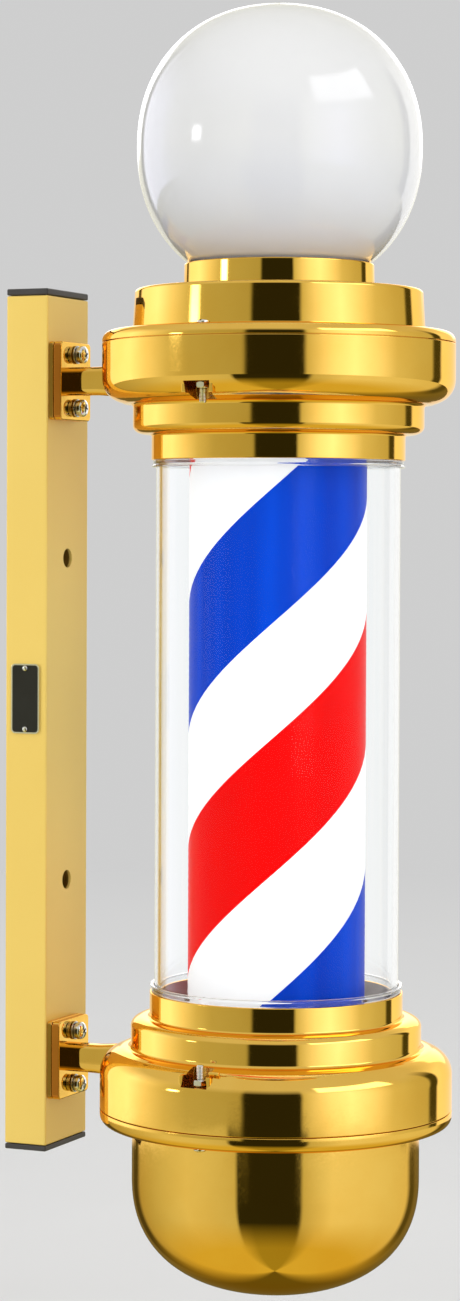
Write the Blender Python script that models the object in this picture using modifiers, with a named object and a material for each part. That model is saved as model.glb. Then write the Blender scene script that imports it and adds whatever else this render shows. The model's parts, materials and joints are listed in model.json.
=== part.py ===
"""Wall-mounted barber pole light: a rail and two bracket arms hold a clear tube with a turning striped drum.

Metres, +Z up. The origin is the centre of the rail's back face, the face that lies on the wall (y = 0).
The object stands out from the wall towards -Y. Lengths below are in millimetres times MM.
"""

from math import cos, pi, radians, sin

import bmesh
import bpy
from mathutils import Matrix, Vector

MM = 0.001
GAP = 0.3 * MM  # clearance between pieces that touch

# ---- wall rail: a rectangular steel tube with plastic end caps
RAIL_WIDTH = 50 * MM
RAIL_DEPTH = 25 * MM
RAIL_HEIGHT = 470 * MM  # with both caps
RAIL_WALL = 1.5 * MM
TOP_CAP = 3.5 * MM
BOTTOM_CAP = 3.0 * MM
CAP_PLUG = 12 * MM
PLUG_WALL = 2 * MM
WALL_SCREW_Z = 88.5 * MM  # height of the two wall screws above and below the origin
ACCESS_HOLE_R = 5.25 * MM
WALL_SCREW_HOLE_R = 3.25 * MM

# ---- badge plate on the rail's -X side
BADGE_Z = 12 * MM
BADGE_HEIGHT = 38 * MM
BADGE_WIDTH = 17 * MM
BADGE_THICK = 1.0 * MM
BADGE_CORNER = 2.5 * MM
BADGE_RIVET_R = 0.9 * MM
BADGE_RIVET_HEAD_R = 1.5 * MM
BADGE_RIVET_HEAD = 0.7 * MM
BADGE_RIVET_EDGE = (0.7, 0.8)  # shares of the head's radius and height at its chamfer
BADGE_RIVET_Z = 16.6 * MM  # from the badge's centre

# ---- pole axis, and the height of the bracket arms above and below the origin
POLE_X = -6 * MM
POLE_Y = -153 * MM
ARM_Z = 185 * MM

# ---- brackets
PLATE_WIDTH = 36.5 * MM
PLATE_HEIGHT = 42.5 * MM
BACK_PLATE = 2.7 * MM
FLANGE = 4.5 * MM
ARM_WIDTH = 11 * MM
ARM_HEIGHT = 15.5 * MM
ARM_FLARE = 1.16  # growth of the arm's section at the housing
ARM_BEVEL = 2.4 * MM
STUD_R = 4.0 * MM
STUD_LENGTH = 14 * MM
ARM_NUT_R = 7 * MM
ARM_NUT_THICK = 5 * MM
SET_SCREW_R = 2.1 * MM
SET_SCREW_Y = 7 * MM  # from the flange's front
SET_SCREW_SINK = 0.3 * MM
SET_SCREW_LENGTH = 4.2 * MM
SET_SOCKET_R = 1.1 * MM
SET_SOCKET_DEPTH = 2 * MM
NUT_PLATE = 4.0 * MM
NUT_PLATE_WIDTH = 28 * MM
NUT_PLATE_HEIGHT = 44 * MM

# ---- bracket bolts: pan heads over a split spring washer and a flat washer
BOLT_OFFSET = 14.5 * MM  # above and below the arm's middle
BOLT_R = 2.5 * MM
BOLT_HEAD_R = 4.8 * MM
BOLT_HEAD = 3.4 * MM
BOLT_CROWN = 0.6  # share of the head's height that is rounded
BOLT_POWER = 2.4
BOLT_SIDES = 20
BOLT_END = 2 * MM  # past the nut plate
RECESS_REACH = 2.1 * MM
RECESS_WIDTH = 1.0 * MM
RECESS_DEPTH = 1.8 * MM
FLAT_WASHER_R = 5 * MM
FLAT_WASHER = 1.0 * MM
SPRING_WASHER_R = 4.3 * MM
SPRING_WASHER = 1.2 * MM
SPRING_SLIT = 0.9 * MM
SPRING_SLIT_TURN = 20  # degrees from +X

# ---- housings; heights on the pole are distances from the middle of the tube
RIM = 141.3 * MM
COLLAR_R = 67.5 * MM
COLLAR_END = 153.5 * MM
STEP_R = 77.5 * MM
STEP_START = 155 * MM
STEP_FILLET = 2 * MM
STEP_END = 170.2 * MM
BULGE_R = 94 * MM
SHOULDER = (78 * MM, 185 * MM)  # radius and height of the centre of the bulge's rounding
SHOULDER_DEPTH = 14 * MM
SHOULDER_POWER = 2.2
SEAM = 203.4 * MM
SHELL = 2.5 * MM
INNER_CORNER = 186 * MM
INNER_SLOPE = (87.5 * MM, 176.5 * MM)
INNER_LEDGE = 173.5 * MM
INNER_STEP = 158.5 * MM
SEAT_WALL_R = 66 * MM
SEAT_WALL_END = 156.5 * MM
DRUM_HOLE_R = 50 * MM

# ---- the housings' screw bosses and open pockets, on both sides of the pole
COVER_SCREW_RADIUS = 85.5 * MM  # distance of the cover screws from the pole axis
COVER_SCREW_TURN = -4  # degrees about the pole axis from the X axis to the line through both screws
BOSS_NEAR = 79 * MM
BOSS_FAR = 92 * MM
BOSS_WALL = 2 * MM  # past the pocket on both sides
BOSS_START = 174 * MM
BOSS_END = 199.2 * MM
POCKET_WIDTH = 15 * MM
POCKET_NEAR = 80.5 * MM
POCKET_FAR = 100 * MM
POCKET_MOUTH = 168 * MM
POCKET_FLOOR = 180 * MM

# ---- flat seat of the arm's nut, inside each housing's rear wall
STUD_SEAT_R = 88 * MM  # from the pole axis
STUD_SEAT_DEPTH = 3.8 * MM
STUD_SEAT_WIDTH = 18 * MM
STUD_SEAT_START = 179.5 * MM
STUD_SEAT_END = 198.5 * MM

# ---- outer lip of the top cover and of the dome
SKIRT_WALL = 2 * MM
SKIRT_END = 199.6 * MM
LIP_R = 88.5 * MM  # centre of the lip's rounding
LIP_ROUND = (5.5 * MM, 5 * MM)

# ---- cover screws and their nuts
COVER_SCREW_R = 2.0 * MM
COVER_HEAD_R = 3.4 * MM
COVER_HEAD = 2.2 * MM
COVER_HEAD_EDGE = (0.75, 0.86, 0.36)  # of the head's radius and height at its edges
COVER_SCREW_END = 169 * MM
COVER_SLOT_WIDTH = 0.9 * MM
COVER_SLOT_DEPTH = 1.3 * MM
COVER_NUT_R = 4.1 * MM
COVER_NUT_THICK = 3.1 * MM

# ---- top cover, globe and bottom dome
TOP_LEDGE = 209.8 * MM
TOP_STEP_R = 77.8 * MM
TOP_STEP_Z = 231.7 * MM
TOP_LEAN = 1.5 * MM
NECK_R = 50.4 * MM
NECK_Z = 245.5 * MM
GLOBE_SEAT_R = 43.5 * MM  # bore of the ledge in the collar that carries the globe's neck
GLOBE_R = 76 * MM
GLOBE_Z = 306.5 * MM
GLOBE_POWER = 2.18  # a little fuller than a sphere
GLOBE_WALL = 2.5 * MM
GLOBE_OPENING = -51  # degrees below the globe's middle where it meets its neck
GLOBE_SHOULDER = 0.5 * MM  # above the cover's collar
GLOBE_NECK_R = 47.2 * MM
GLOBE_NECK_END = TOP_STEP_Z + GAP
DOME_LEDGE = 212 * MM
DOME_R = 76.7 * MM
DOME_STRAIGHT = 240 * MM
DOME_BOTTOM = 301 * MM
DOME_POWER = 2.35

# ---- cable grommet in the dome's rear wall
GROMMET_Z = -232 * MM
GROMMET_LIP_R = 8 * MM
GROMMET_NECK_R = 5.6 * MM
GROMMET_BORE_R = 3.5 * MM
GROMMET_HOLE_R = 6 * MM
GROMMET_LIP = 1.6 * MM
GROMMET_PLAY = 1.0 * MM  # between each lip and the curved wall

# ---- lamp in the upper housing
PLATE_LEVEL = 166 * MM  # near face of the two inner mounting plates
PLATE_THICK = 2.5 * MM
LAMP_PLATE_HOLE = 4 * MM
MOTOR_PLATE_HOLE = 8 * MM
HOLDER_FOOT_R = 17 * MM
HOLDER_R = 20 * MM
HOLDER_BORE = 14.5 * MM
HOLDER_FLOOR = 10 * MM
HOLDER_STEP = 12 * MM
HOLDER_HEIGHT = 34 * MM
BULB_CAP_R = 13.5 * MM
BULB_CAP = 26 * MM
BULB_TIP_R = 6 * MM
BULB_TIP = 4 * MM
BULB_NECK_R = 15 * MM
BULB_R = 28 * MM
BULB_BALL = 26 * MM  # height of the bulb's round top
BULB_SHOULDER = (26 * MM, 24 * MM)  # radius, and height above the cap
BULB_MIDDLE = 38 * MM  # above the cap

# ---- clear tube with its seals
TUBE_R = 65 * MM
TUBE_WALL = 3.0 * MM
TUBE_END = 149.5 * MM
SEAL_HEIGHT = 3.5 * MM
SEAL_INSET = 0.1 * MM  # inside the collar's outer face

# ---- drum and its drive
DRUM_R = 47.25 * MM
DRUM_WALL = 1.5 * MM
DRUM_END = 157 * MM
DRUM_DISC = 3 * MM
DISC_INSET = 0.5 * MM
HUB_BOSS_R = 9 * MM
HUB_BOSS = (7 * MM, 6 * MM)  # below and above the hub's disc
SHAFT_R = 2.8 * MM
SHAFT_SPAN = (-165.2 * MM, -149.5 * MM)
BUSH_R = 12 * MM
BUSH_PLAY = 0.5 * MM
BUSH_SPAN = (150.5 * MM, 159.5 * MM)
MAST_SIDE = 12 * MM
MAST_BOTTOM = -138 * MM
STRIP_WIDTH = 8 * MM
STRIP_THICK = 1.2 * MM
STRIP_TOP = 142 * MM
STRIP_INSET = 4 * MM
MOTOR_R = 25 * MM
MOTOR_HEIGHT = 24 * MM
MOTOR_EDGE = 2 * MM
MOTOR_NOSE_R = 7 * MM
MOTOR_NOSE_TOP = -165.5 * MM
EAR_REACH = 35 * MM
EAR_WIDTH = 12 * MM
EAR_THICK = 1.5 * MM
DRIVER_SIZE = (58 * MM, 34 * MM, 22 * MM)
DRIVER_Z = -241 * MM
DRIVER_EDGE = 2 * MM

OVER = 5 * MM  # how far a cutter runs past the face that it opens
ROUND = 36  # sides of the large turned pieces
MEDIUM = 24  # sides of the small turned pieces
SMALL = 16  # sides of screws and holes
TINY = 8  # sides of the badge's rivets
SHARP = 35  # degrees between faces at a sharp edge

OBJECT = "barber_pole_light"
parts = bpy.data.collections.new(OBJECT)
cutters = bpy.data.collections.new("cutters")


# ------------------------------------------------------------------ materials
def material(name, colour, roughness, metallic, alpha=1.0, transmission=0.0):
    made = bpy.data.materials.get(name)
    if made:
        return made
    made = bpy.data.materials.new(name)
    made.use_nodes = True
    shader = made.node_tree.nodes["Principled BSDF"]
    shader.inputs["Base Color"].default_value = (*colour, 1.0)
    shader.inputs["Roughness"].default_value = roughness
    shader.inputs["Metallic"].default_value = metallic
    shader.inputs["Alpha"].default_value = alpha
    shader.inputs["Transmission Weight"].default_value = transmission
    return made


def painted_gold():
    return material("painted_gold", (0.80, 0.56, 0.17), 0.35, 0.7)


def mirror_gold():
    return material("mirror_gold", (0.90, 0.62, 0.15), 0.06, 1.0)


def black_plastic():
    return material("black_plastic", (0.03, 0.03, 0.035), 0.45, 0.0)


def chrome():
    return material("chrome", (0.75, 0.76, 0.78), 0.12, 1.0)


def zinc_steel():
    return material("zinc_steel", (0.62, 0.63, 0.65), 0.3, 1.0)


def opal():
    return material("opal", (0.9, 0.9, 0.9), 0.12, 0.0)


def clear_acrylic():
    return material("clear_acrylic", (0.98, 0.99, 1.0), 0.03, 0.0, 0.25, 1.0)


def drum_film():
    return material("drum_film", (0.95, 0.95, 0.95), 0.35, 0.0)


def white_plastic():
    return material("white_plastic", (0.85, 0.85, 0.83), 0.4, 0.0)


def aluminium():
    return material("aluminium", (0.8, 0.8, 0.82), 0.35, 1.0)


def rubber():
    return material("rubber", (0.02, 0.02, 0.02), 0.7, 0.0)


# ------------------------------------------------------------------ building
def keep(name, mesh, finish, location=(0, 0, 0), rotation=(0, 0, 0)):
    """Adds a mesh as a part of the object."""
    made = bpy.data.objects.new(name, mesh)
    made.location = location
    made.rotation_euler = rotation
    if finish is not None and not mesh.materials:
        mesh.materials.append(finish)
    parts.objects.link(made)
    return made


def guide(made):
    """Turns an object into a cutter, which isn't part of the object."""
    parts.objects.unlink(made)
    cutters.objects.link(made)
    made.hide_render = True
    made.display_type = "WIRE"
    return made


def boolean(target, other, operation):
    step = target.modifiers.new(other.name, "BOOLEAN")
    step.object = guide(other) if other.name in parts.objects else other
    step.operation = operation
    step.solver = "EXACT"
    return target


def mesh_of(shape, name):
    """The mesh of a bmesh, shaded smooth but for its sharp edges."""
    made = bpy.data.meshes.new(name)
    shape.to_mesh(made)
    shape.free()
    made.shade_smooth()
    made.set_sharp_from_angle(angle=radians(SHARP))
    return made


def box_mesh(name, low, high):
    shape = bmesh.new()
    low, high = Vector(low), Vector(high)
    size = Matrix.Diagonal((*(high - low), 1.0))
    bmesh.ops.create_cube(shape, size=1.0, matrix=Matrix.Translation((low + high) / 2) @ size)
    return mesh_of(shape, name)


def box(name, low, high, finish=None):
    return keep(name, box_mesh(name, low, high), finish)


def prism_mesh(name, sides, radius, low, high):
    """An upright prism from low to high on its own Z axis."""
    shape = bmesh.new()
    bmesh.ops.create_cone(
        shape,
        cap_ends=True,
        segments=sides,
        radius1=radius,
        radius2=radius,
        depth=high - low,
        matrix=Matrix.Translation((0, 0, (low + high) / 2)),
    )
    return mesh_of(shape, name)


def prism(name, sides, radius, low, high, location=(0, 0, 0), rotation=(0, 0, 0), finish=None):
    return keep(name, prism_mesh(name, sides, radius, low, high), finish, location, rotation)


def turned(name, profile, finish, location, closed=True, sides=ROUND, rotation=(0, 0, 0)):
    """Turns (radius, height) points. A closed profile is a ring, an open one starts and ends on the axis."""
    ring = list(profile) + ([profile[0]] if closed else [])
    area = sum(a[0] * b[1] - b[0] * a[1] for a, b in zip(ring, ring[1:]))
    points = list(reversed(profile)) if area > 0 else list(profile)
    shape = bmesh.new()
    made = [shape.verts.new((radius, 0, height)) for radius, height in points]
    for first, second in zip(made, made[1:]):
        shape.edges.new((first, second))
    if closed:
        shape.edges.new((made[-1], made[0]))
    piece = keep(name, mesh_of(shape, name), finish, location, rotation)
    screw = piece.modifiers.new("turn", "SCREW")
    screw.steps = sides
    screw.render_steps = sides
    screw.use_merge_vertices = True
    screw.merge_threshold = 0.00001
    screw.use_smooth_shade = True
    return piece


def rounded(piece, width):
    step = piece.modifiers.new("round", "BEVEL")
    step.width = width
    step.limit_method = "ANGLE"
    step.angle_limit = radians(40)
    return piece


def superellipse(centre, size, power, start, end, count):
    """Points of a superellipse round centre, from one angle in degrees to another."""
    points = []
    for i in range(count):
        turn = radians(start + (end - start) * i / (count - 1))
        across = abs(cos(turn)) ** (2 / power) * size[0] * (1 if cos(turn) >= 0 else -1)
        along = abs(sin(turn)) ** (2 / power) * size[1] * (1 if sin(turn) >= 0 else -1)
        points.append((centre[0] + across, centre[1] + along))
    return points


POLE = (POLE_X, POLE_Y, 0)
OUT = (pi / 2, 0, 0)  # turns a piece's own +Z to -Y, away from the wall


# ------------------------------------------------------------------ wall rail
def wall_rail():
    low, high = -RAIL_HEIGHT / 2 + BOTTOM_CAP + GAP, RAIL_HEIGHT / 2 - TOP_CAP - GAP
    half = RAIL_WIDTH / 2
    rail = box("wall_rail", (-half, -RAIL_DEPTH, low), (half, 0, high), painted_gold())
    inner = half - RAIL_WALL
    bore = box("rail_bore", (-inner, -RAIL_DEPTH + RAIL_WALL, low - OVER), (inner, -RAIL_WALL, high + OVER))
    boolean(rail, bore, "DIFFERENCE")
    front, back = RAIL_DEPTH + OVER, -OVER
    middle = RAIL_DEPTH / 2
    for side in (-1, 1):
        at = (0, 0, side * WALL_SCREW_Z)
        access = prism(f"access_hole_{side}", MEDIUM, ACCESS_HOLE_R, middle, front, at, OUT)
        boolean(rail, access, "DIFFERENCE")
        screw_hole = prism(f"wall_screw_hole_{side}", SMALL, WALL_SCREW_HOLE_R, back, middle, at, OUT)
        boolean(rail, screw_hole, "DIFFERENCE")
        for step in (-1, 1):
            at = (POLE_X, 0, side * ARM_Z + step * BOLT_OFFSET)
            hole = prism(f"rail_bolt_hole_{side}_{step}", SMALL, BOLT_R + GAP, middle, front, at, OUT)
            boolean(rail, hole, "DIFFERENCE")
        at = (-half - OVER, -RAIL_DEPTH / 2, BADGE_Z + side * BADGE_RIVET_Z)
        hole = prism(f"rivet_hole_{side}", TINY, BADGE_RIVET_R + GAP, 0, 2 * OVER, at, (0, pi / 2, 0))
        boolean(rail, hole, "DIFFERENCE")


def rail_cap(name, side, plate):
    """A plastic cap: a plate as wide as the rail and a hollow plug that fits inside it."""
    half = RAIL_WIDTH / 2
    end = side * RAIL_HEIGHT / 2
    face = end - side * plate
    low, high = sorted((end, face))
    cap = box(name, (-half, -RAIL_DEPTH, low), (half, 0, high), black_plastic())
    wall = RAIL_WALL + GAP
    low, high = sorted((face + side * plate / 2, face - side * CAP_PLUG))
    plug = box(name + "_plug", (-half + wall, -RAIL_DEPTH + wall, low), (half - wall, -wall, high))
    boolean(cap, plug, "UNION")
    wall += PLUG_WALL
    low, high = sorted((face, face - side * 2 * CAP_PLUG))
    hollow = box(name + "_hollow", (-half + wall, -RAIL_DEPTH + wall, low), (half - wall, -wall, high))
    boolean(cap, hollow, "DIFFERENCE")


def badge():
    """A blank rounded plate on the rail's side, held by two small rivets."""
    face = -RAIL_WIDTH / 2 - GAP
    shape = bmesh.new()
    size = Matrix.Diagonal((BADGE_THICK, BADGE_WIDTH, BADGE_HEIGHT, 1.0))
    bmesh.ops.create_cube(shape, size=1.0, matrix=size)
    upright = [e for e in shape.edges if abs(e.verts[0].co.x - e.verts[1].co.x) > BADGE_THICK / 2]
    bmesh.ops.bevel(shape, geom=upright, offset=BADGE_CORNER, segments=4, profile=0.5, affect="EDGES")
    middle = (face - BADGE_THICK / 2, -RAIL_DEPTH / 2, BADGE_Z)
    plate = keep("badge_plate", mesh_of(shape, "badge_plate"), black_plastic(), middle)
    for side, name in ((1, "badge_rivet_top"), (-1, "badge_rivet_bottom")):
        at = (face - BADGE_THICK - GAP, -RAIL_DEPTH / 2, BADGE_Z + side * BADGE_RIVET_Z)
        hole = prism(name + "_hole", TINY, BADGE_RIVET_R + GAP, -OVER, OVER, at, (0, -pi / 2, 0))
        boolean(plate, hole, "DIFFERENCE")
        length = BADGE_THICK + 2 * GAP + RAIL_WALL
        profile = [
            (0, BADGE_RIVET_HEAD),
            (BADGE_RIVET_HEAD_R * BADGE_RIVET_EDGE[0], BADGE_RIVET_HEAD * BADGE_RIVET_EDGE[1]),
            (BADGE_RIVET_HEAD_R, 0),
            (BADGE_RIVET_R, 0),
            (BADGE_RIVET_R, -length),
            (0, -length),
        ]
        turned(name, profile, chrome(), at, closed=False, sides=TINY, rotation=(0, -pi / 2, 0))


# ------------------------------------------------------------------ brackets
RAIL_FRONT = -RAIL_DEPTH
BACK_FACE = RAIL_FRONT - GAP  # back of the bracket's rear layer
FLANGE_BACK = BACK_FACE - BACK_PLATE - GAP
FLANGE_FRONT = FLANGE_BACK - FLANGE
HOUSING_FACE = POLE_Y + BULGE_R


def bolt_holes(piece, side, radius):
    for step in (-1, 1):
        at = (POLE_X, 0, side * ARM_Z + step * BOLT_OFFSET)
        hole = prism(f"{piece.name}_hole_{step}", SMALL, radius, 0, 2 * RAIL_DEPTH, at, OUT)
        boolean(piece, hole, "DIFFERENCE")


def bracket_back_plate(name, side):
    half, tall = PLATE_WIDTH / 2, PLATE_HEIGHT / 2
    low = (POLE_X - half, BACK_FACE - BACK_PLATE, side * ARM_Z - tall)
    high = (POLE_X + half, BACK_FACE, side * ARM_Z + tall)
    bolt_holes(box(name, low, high, mirror_gold()), side, BOLT_R + GAP)


def arm_mesh(name, length):
    """The arm's bar, which grows a little towards its far end and lies along -Y from its own origin."""
    shape = bmesh.new()
    size = Matrix.Diagonal((ARM_WIDTH, length, ARM_HEIGHT, 1.0))
    bmesh.ops.create_cube(shape, size=1.0, matrix=Matrix.Translation((0, -length / 2, 0)) @ size)
    for vert in shape.verts:
        if vert.co.y < -length / 2:
            vert.co.x *= ARM_FLARE
            vert.co.z *= ARM_FLARE
    along = [e for e in shape.edges if abs(e.verts[0].co.y - e.verts[1].co.y) > length / 2]
    bmesh.ops.bevel(shape, geom=along, offset=ARM_BEVEL, segments=3, profile=0.5, affect="EDGES")
    return mesh_of(shape, name)


def bracket_arm(name, side):
    """A flange on the rail and a bar to the housing, with a stud that goes through the housing's wall."""
    half, tall = PLATE_WIDTH / 2, PLATE_HEIGHT / 2
    middle = side * ARM_Z
    low = (POLE_X - half, FLANGE_FRONT, middle - tall)
    high = (POLE_X + half, FLANGE_BACK, middle + tall)
    arm = box(name, low, high, mirror_gold())
    bolt_holes(arm, side, BOLT_R + GAP)
    start = FLANGE_FRONT + FLANGE / 2
    length = start - HOUSING_FACE + OVER
    bar = keep(name + "_bar", arm_mesh(name + "_bar", length), None, (POLE_X, start, middle))
    at = (POLE_X, POLE_Y, middle)
    shell_face = prism(name + "_end_cut", 4 * ROUND, BULGE_R + GAP, -ARM_HEIGHT, ARM_HEIGHT, at)
    boolean(bar, shell_face, "DIFFERENCE")
    boolean(arm, bar, "UNION")
    base = -HOUSING_FACE - OVER
    stud = prism(name + "_stud", SMALL, STUD_R, base, -HOUSING_FACE + STUD_LENGTH, (POLE_X, 0, middle), OUT)
    boolean(arm, stud, "UNION")
    at = (POLE_X, FLANGE_FRONT - SET_SCREW_Y, middle - side * ARM_HEIGHT / 2)
    hole = prism(name + "_set_hole", SMALL, SET_SCREW_R + GAP, -OVER, OVER, at)
    boolean(arm, hole, "DIFFERENCE")


def arm_set_screw(name, side):
    """A grub screw in the side of the arm that faces the middle of the pole."""
    top = side * (ARM_Z - ARM_HEIGHT / 2 + SET_SCREW_SINK)
    low, high = sorted((top, top + side * SET_SCREW_LENGTH))
    at = (POLE_X, FLANGE_FRONT - SET_SCREW_Y, 0)
    screw = prism(name, SMALL, SET_SCREW_R, low, high, at, finish=zinc_steel())
    low, high = sorted((top - side * OVER, top + side * SET_SOCKET_DEPTH))
    boolean(screw, prism(name + "_socket", 6, SET_SOCKET_R, low, high, at), "DIFFERENCE")


def nut_plate(name, side):
    """A steel plate inside the rail, threaded for the two bracket bolts."""
    face = RAIL_FRONT + RAIL_WALL + GAP
    half, tall = NUT_PLATE_WIDTH / 2, NUT_PLATE_HEIGHT / 2
    low = (POLE_X - half, face, side * ARM_Z - tall)
    high = (POLE_X + half, face + NUT_PLATE, side * ARM_Z + tall)
    bolt_holes(box(name, low, high, zinc_steel()), side, BOLT_R + GAP)


def ring_profile(inner, outer, low, high):
    return [(outer, high), (outer, low), (inner, low), (inner, high)]


def hex_nut(name, radius, bore, low, high, location, rotation, finish):
    nut = prism(name, 6, radius, low, high, location, rotation, finish)
    hole = prism(name + "_bore", SMALL, bore, low - OVER, high + OVER, location, rotation)
    return boolean(nut, hole, "DIFFERENCE")


def bracket_bolt(place, side, step):
    """A pan-head bolt with a cross recess, a split spring washer and a flat washer."""
    at = (POLE_X, FLANGE_FRONT, side * ARM_Z + step * BOLT_OFFSET)
    bore = BOLT_R + GAP
    low = GAP
    profile = ring_profile(bore, FLAT_WASHER_R, low, low + FLAT_WASHER)
    turned(f"{place}_flat_washer", profile, zinc_steel(), at, sides=MEDIUM, rotation=OUT)
    low += FLAT_WASHER + GAP
    profile = ring_profile(bore, SPRING_WASHER_R, low, low + SPRING_WASHER)
    washer = turned(f"{place}_spring_washer", profile, zinc_steel(), at, sides=MEDIUM, rotation=OUT)
    half = SPRING_SLIT / 2
    slit = box(f"{place}_slit", (0, -half, -OVER), (2 * SPRING_WASHER_R, half, 2 * OVER))
    slit.location = at
    slit.rotation_euler = (pi / 2, radians(SPRING_SLIT_TURN), 0)
    boolean(washer, slit, "DIFFERENCE")
    low += SPRING_WASHER + GAP
    reach = FLANGE + BACK_PLATE + 3 * GAP + RAIL_WALL + NUT_PLATE + BOLT_END
    dome = BOLT_HEAD * BOLT_CROWN
    crown = superellipse((0, low + BOLT_HEAD - dome), (BOLT_HEAD_R, dome), BOLT_POWER, 90, 0, 4)
    profile = [
        (0, low + BOLT_HEAD),
        *crown[1:],
        (BOLT_HEAD_R, low),
        (BOLT_R, low),
        (BOLT_R, -reach),
        (0, -reach),
    ]
    bolt = turned(f"{place}_bolt", profile, chrome(), at, closed=False, sides=BOLT_SIDES, rotation=OUT)
    for number, turn in enumerate((0, pi / 2)):
        half = RECESS_WIDTH / 2
        bar = box(f"{place}_recess_{number}", (-RECESS_REACH, -half, 0), (RECESS_REACH, half, OVER))
        bar.location = (at[0], at[1] - low - BOLT_HEAD + RECESS_DEPTH, at[2])
        bar.rotation_euler = (pi / 2, turn, 0)
        boolean(bolt, bar, "DIFFERENCE")


def arm_nut(name, side):
    """The nut inside the housing that holds it on the arm's stud."""
    inside = -POLE_Y - STUD_SEAT_R + GAP
    at = (POLE_X, 0, side * ARM_Z)
    hex_nut(name, ARM_NUT_R, STUD_R + GAP, inside, inside + ARM_NUT_THICK, at, OUT, zinc_steel())


# ------------------------------------------------------------------ housings and covers
def housing_profile():
    """The section of a housing, from its rim over its step and bulge to the seam, and back inside."""
    size = (BULGE_R - SHOULDER[0], SHOULDER_DEPTH)
    seat = TUBE_END + GAP
    return [
        (COLLAR_R, RIM),
        (COLLAR_R, COLLAR_END),
        (STEP_R - STEP_FILLET, STEP_START),
        (STEP_R, STEP_START + STEP_FILLET),
        (STEP_R, STEP_END),
        *superellipse(SHOULDER, size, SHOULDER_POWER, -78, 0, 5),
        (BULGE_R, SEAM - GAP / 2),
        (BULGE_R - SHELL, SEAM - GAP / 2),
        (BULGE_R - SHELL, INNER_CORNER),
        INNER_SLOPE,
        (STEP_R - SHELL, INNER_LEDGE),
        (STEP_R - SHELL, INNER_STEP),
        (SEAT_WALL_R, SEAT_WALL_END),
        (SEAT_WALL_R, seat + SHELL),
        (DRUM_HOLE_R, seat + SHELL),
        (DRUM_HOLE_R, seat),
        (TUBE_R + GAP, seat),
        (TUBE_R + GAP, RIM),
    ]


def flipped(profile, side):
    return [(radius, side * height) for radius, height in profile]


def screw_box(name, reach, half_width, span, turn, side):
    """A box on the line through the cover screws: reach is from the pole axis, span from the tube's middle."""
    near, far = sorted((turn * reach[0], turn * reach[1]))
    low, high = sorted((side * span[0], side * span[1]))
    made = box(name, (near, -half_width, low), (far, half_width, high))
    made.location = POLE
    made.rotation_euler = (0, 0, radians(COVER_SCREW_TURN))
    return made


def cover_screw_place(turn):
    reach, angle = turn * COVER_SCREW_RADIUS, radians(COVER_SCREW_TURN)
    return (POLE_X + reach * cos(angle), POLE_Y + reach * sin(angle), 0)


def cover_screw_hole(piece, side, turn, start, end):
    low, high = sorted((side * start, side * end))
    at = cover_screw_place(turn)
    hole = prism(f"{piece.name}_screw_hole_{turn}", SMALL, COVER_SCREW_R + GAP, low, high, at)
    boolean(piece, hole, "DIFFERENCE")


def housing(name, side):
    """The turned shell, with a boss and an open pocket for each cover screw, and a seat for the arm's nut."""
    shell = turned(name, flipped(housing_profile(), side), mirror_gold(), POLE)
    wide = POCKET_WIDTH / 2
    for turn in (-1, 1):
        tag = f"{name}_{'left' if turn < 0 else 'right'}"
        reach, span = (BOSS_NEAR, BOSS_FAR), (BOSS_START, BOSS_END)
        boolean(shell, screw_box(tag + "_boss", reach, wide + BOSS_WALL, span, turn, side), "UNION")
        reach, span = (POCKET_NEAR, POCKET_FAR), (POCKET_MOUTH, POCKET_FLOOR)
        boolean(shell, screw_box(tag + "_pocket", reach, wide, span, turn, side), "DIFFERENCE")
        cover_screw_hole(shell, side, turn, POCKET_MOUTH, SEAM + OVER)
    half = STUD_SEAT_WIDTH / 2
    low, high = sorted((side * STUD_SEAT_START, side * STUD_SEAT_END))
    seat = box(name + "_stud_seat", (-half, STUD_SEAT_R, low), (half, STUD_SEAT_R + STUD_SEAT_DEPTH, high))
    seat.location = POLE
    boolean(shell, seat, "UNION")
    inside, outside = -HOUSING_FACE - 2 * OVER, -POLE_Y - STUD_SEAT_R + 2 * OVER
    at = (POLE_X, 0, side * ARM_Z)
    stud_hole = prism(name + "_stud_hole", SMALL, STUD_R + GAP, inside, outside, at, OUT)
    boolean(shell, stud_hole, "DIFFERENCE")


def lip_profile(ledge):
    """The outer edge of a cover, from its skirt in the housing to its ledge: inside and outside points."""
    seam = SEAM + GAP / 2
    skirt = BULGE_R - SHELL - GAP
    inner = skirt - SKIRT_WALL
    rounding = superellipse((LIP_R, ledge - LIP_ROUND[1]), LIP_ROUND, 2, 0, 90, 3)
    outside = [(skirt, seam), (BULGE_R, seam), *rounding]
    inside = [(inner, ledge - SHELL), (inner, SKIRT_END), (skirt, SKIRT_END)]
    return inside, outside


def top_cover():
    """The cover over the upper housing: its lip, a wide step and the collar that holds the globe."""
    inside, outside = lip_profile(TOP_LEDGE)
    wide = TOP_STEP_R - TOP_LEAN
    profile = [
        *inside,
        *outside,
        (TOP_STEP_R, TOP_LEDGE),
        (wide, TOP_STEP_Z),
        (NECK_R, TOP_STEP_Z),
        (NECK_R, NECK_Z),
        (NECK_R - SHELL, NECK_Z),
        (NECK_R - SHELL, TOP_STEP_Z),
        (GLOBE_SEAT_R, TOP_STEP_Z),
        (GLOBE_SEAT_R, TOP_STEP_Z - SHELL),
        (wide - SHELL, TOP_STEP_Z - SHELL),
        (TOP_STEP_R - SHELL, TOP_LEDGE - SHELL),
    ]
    cover = turned("top_cover", profile, mirror_gold(), POLE)
    for turn in (-1, 1):
        cover_screw_hole(cover, 1, turn, SKIRT_END, TOP_LEDGE + OVER)


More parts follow.
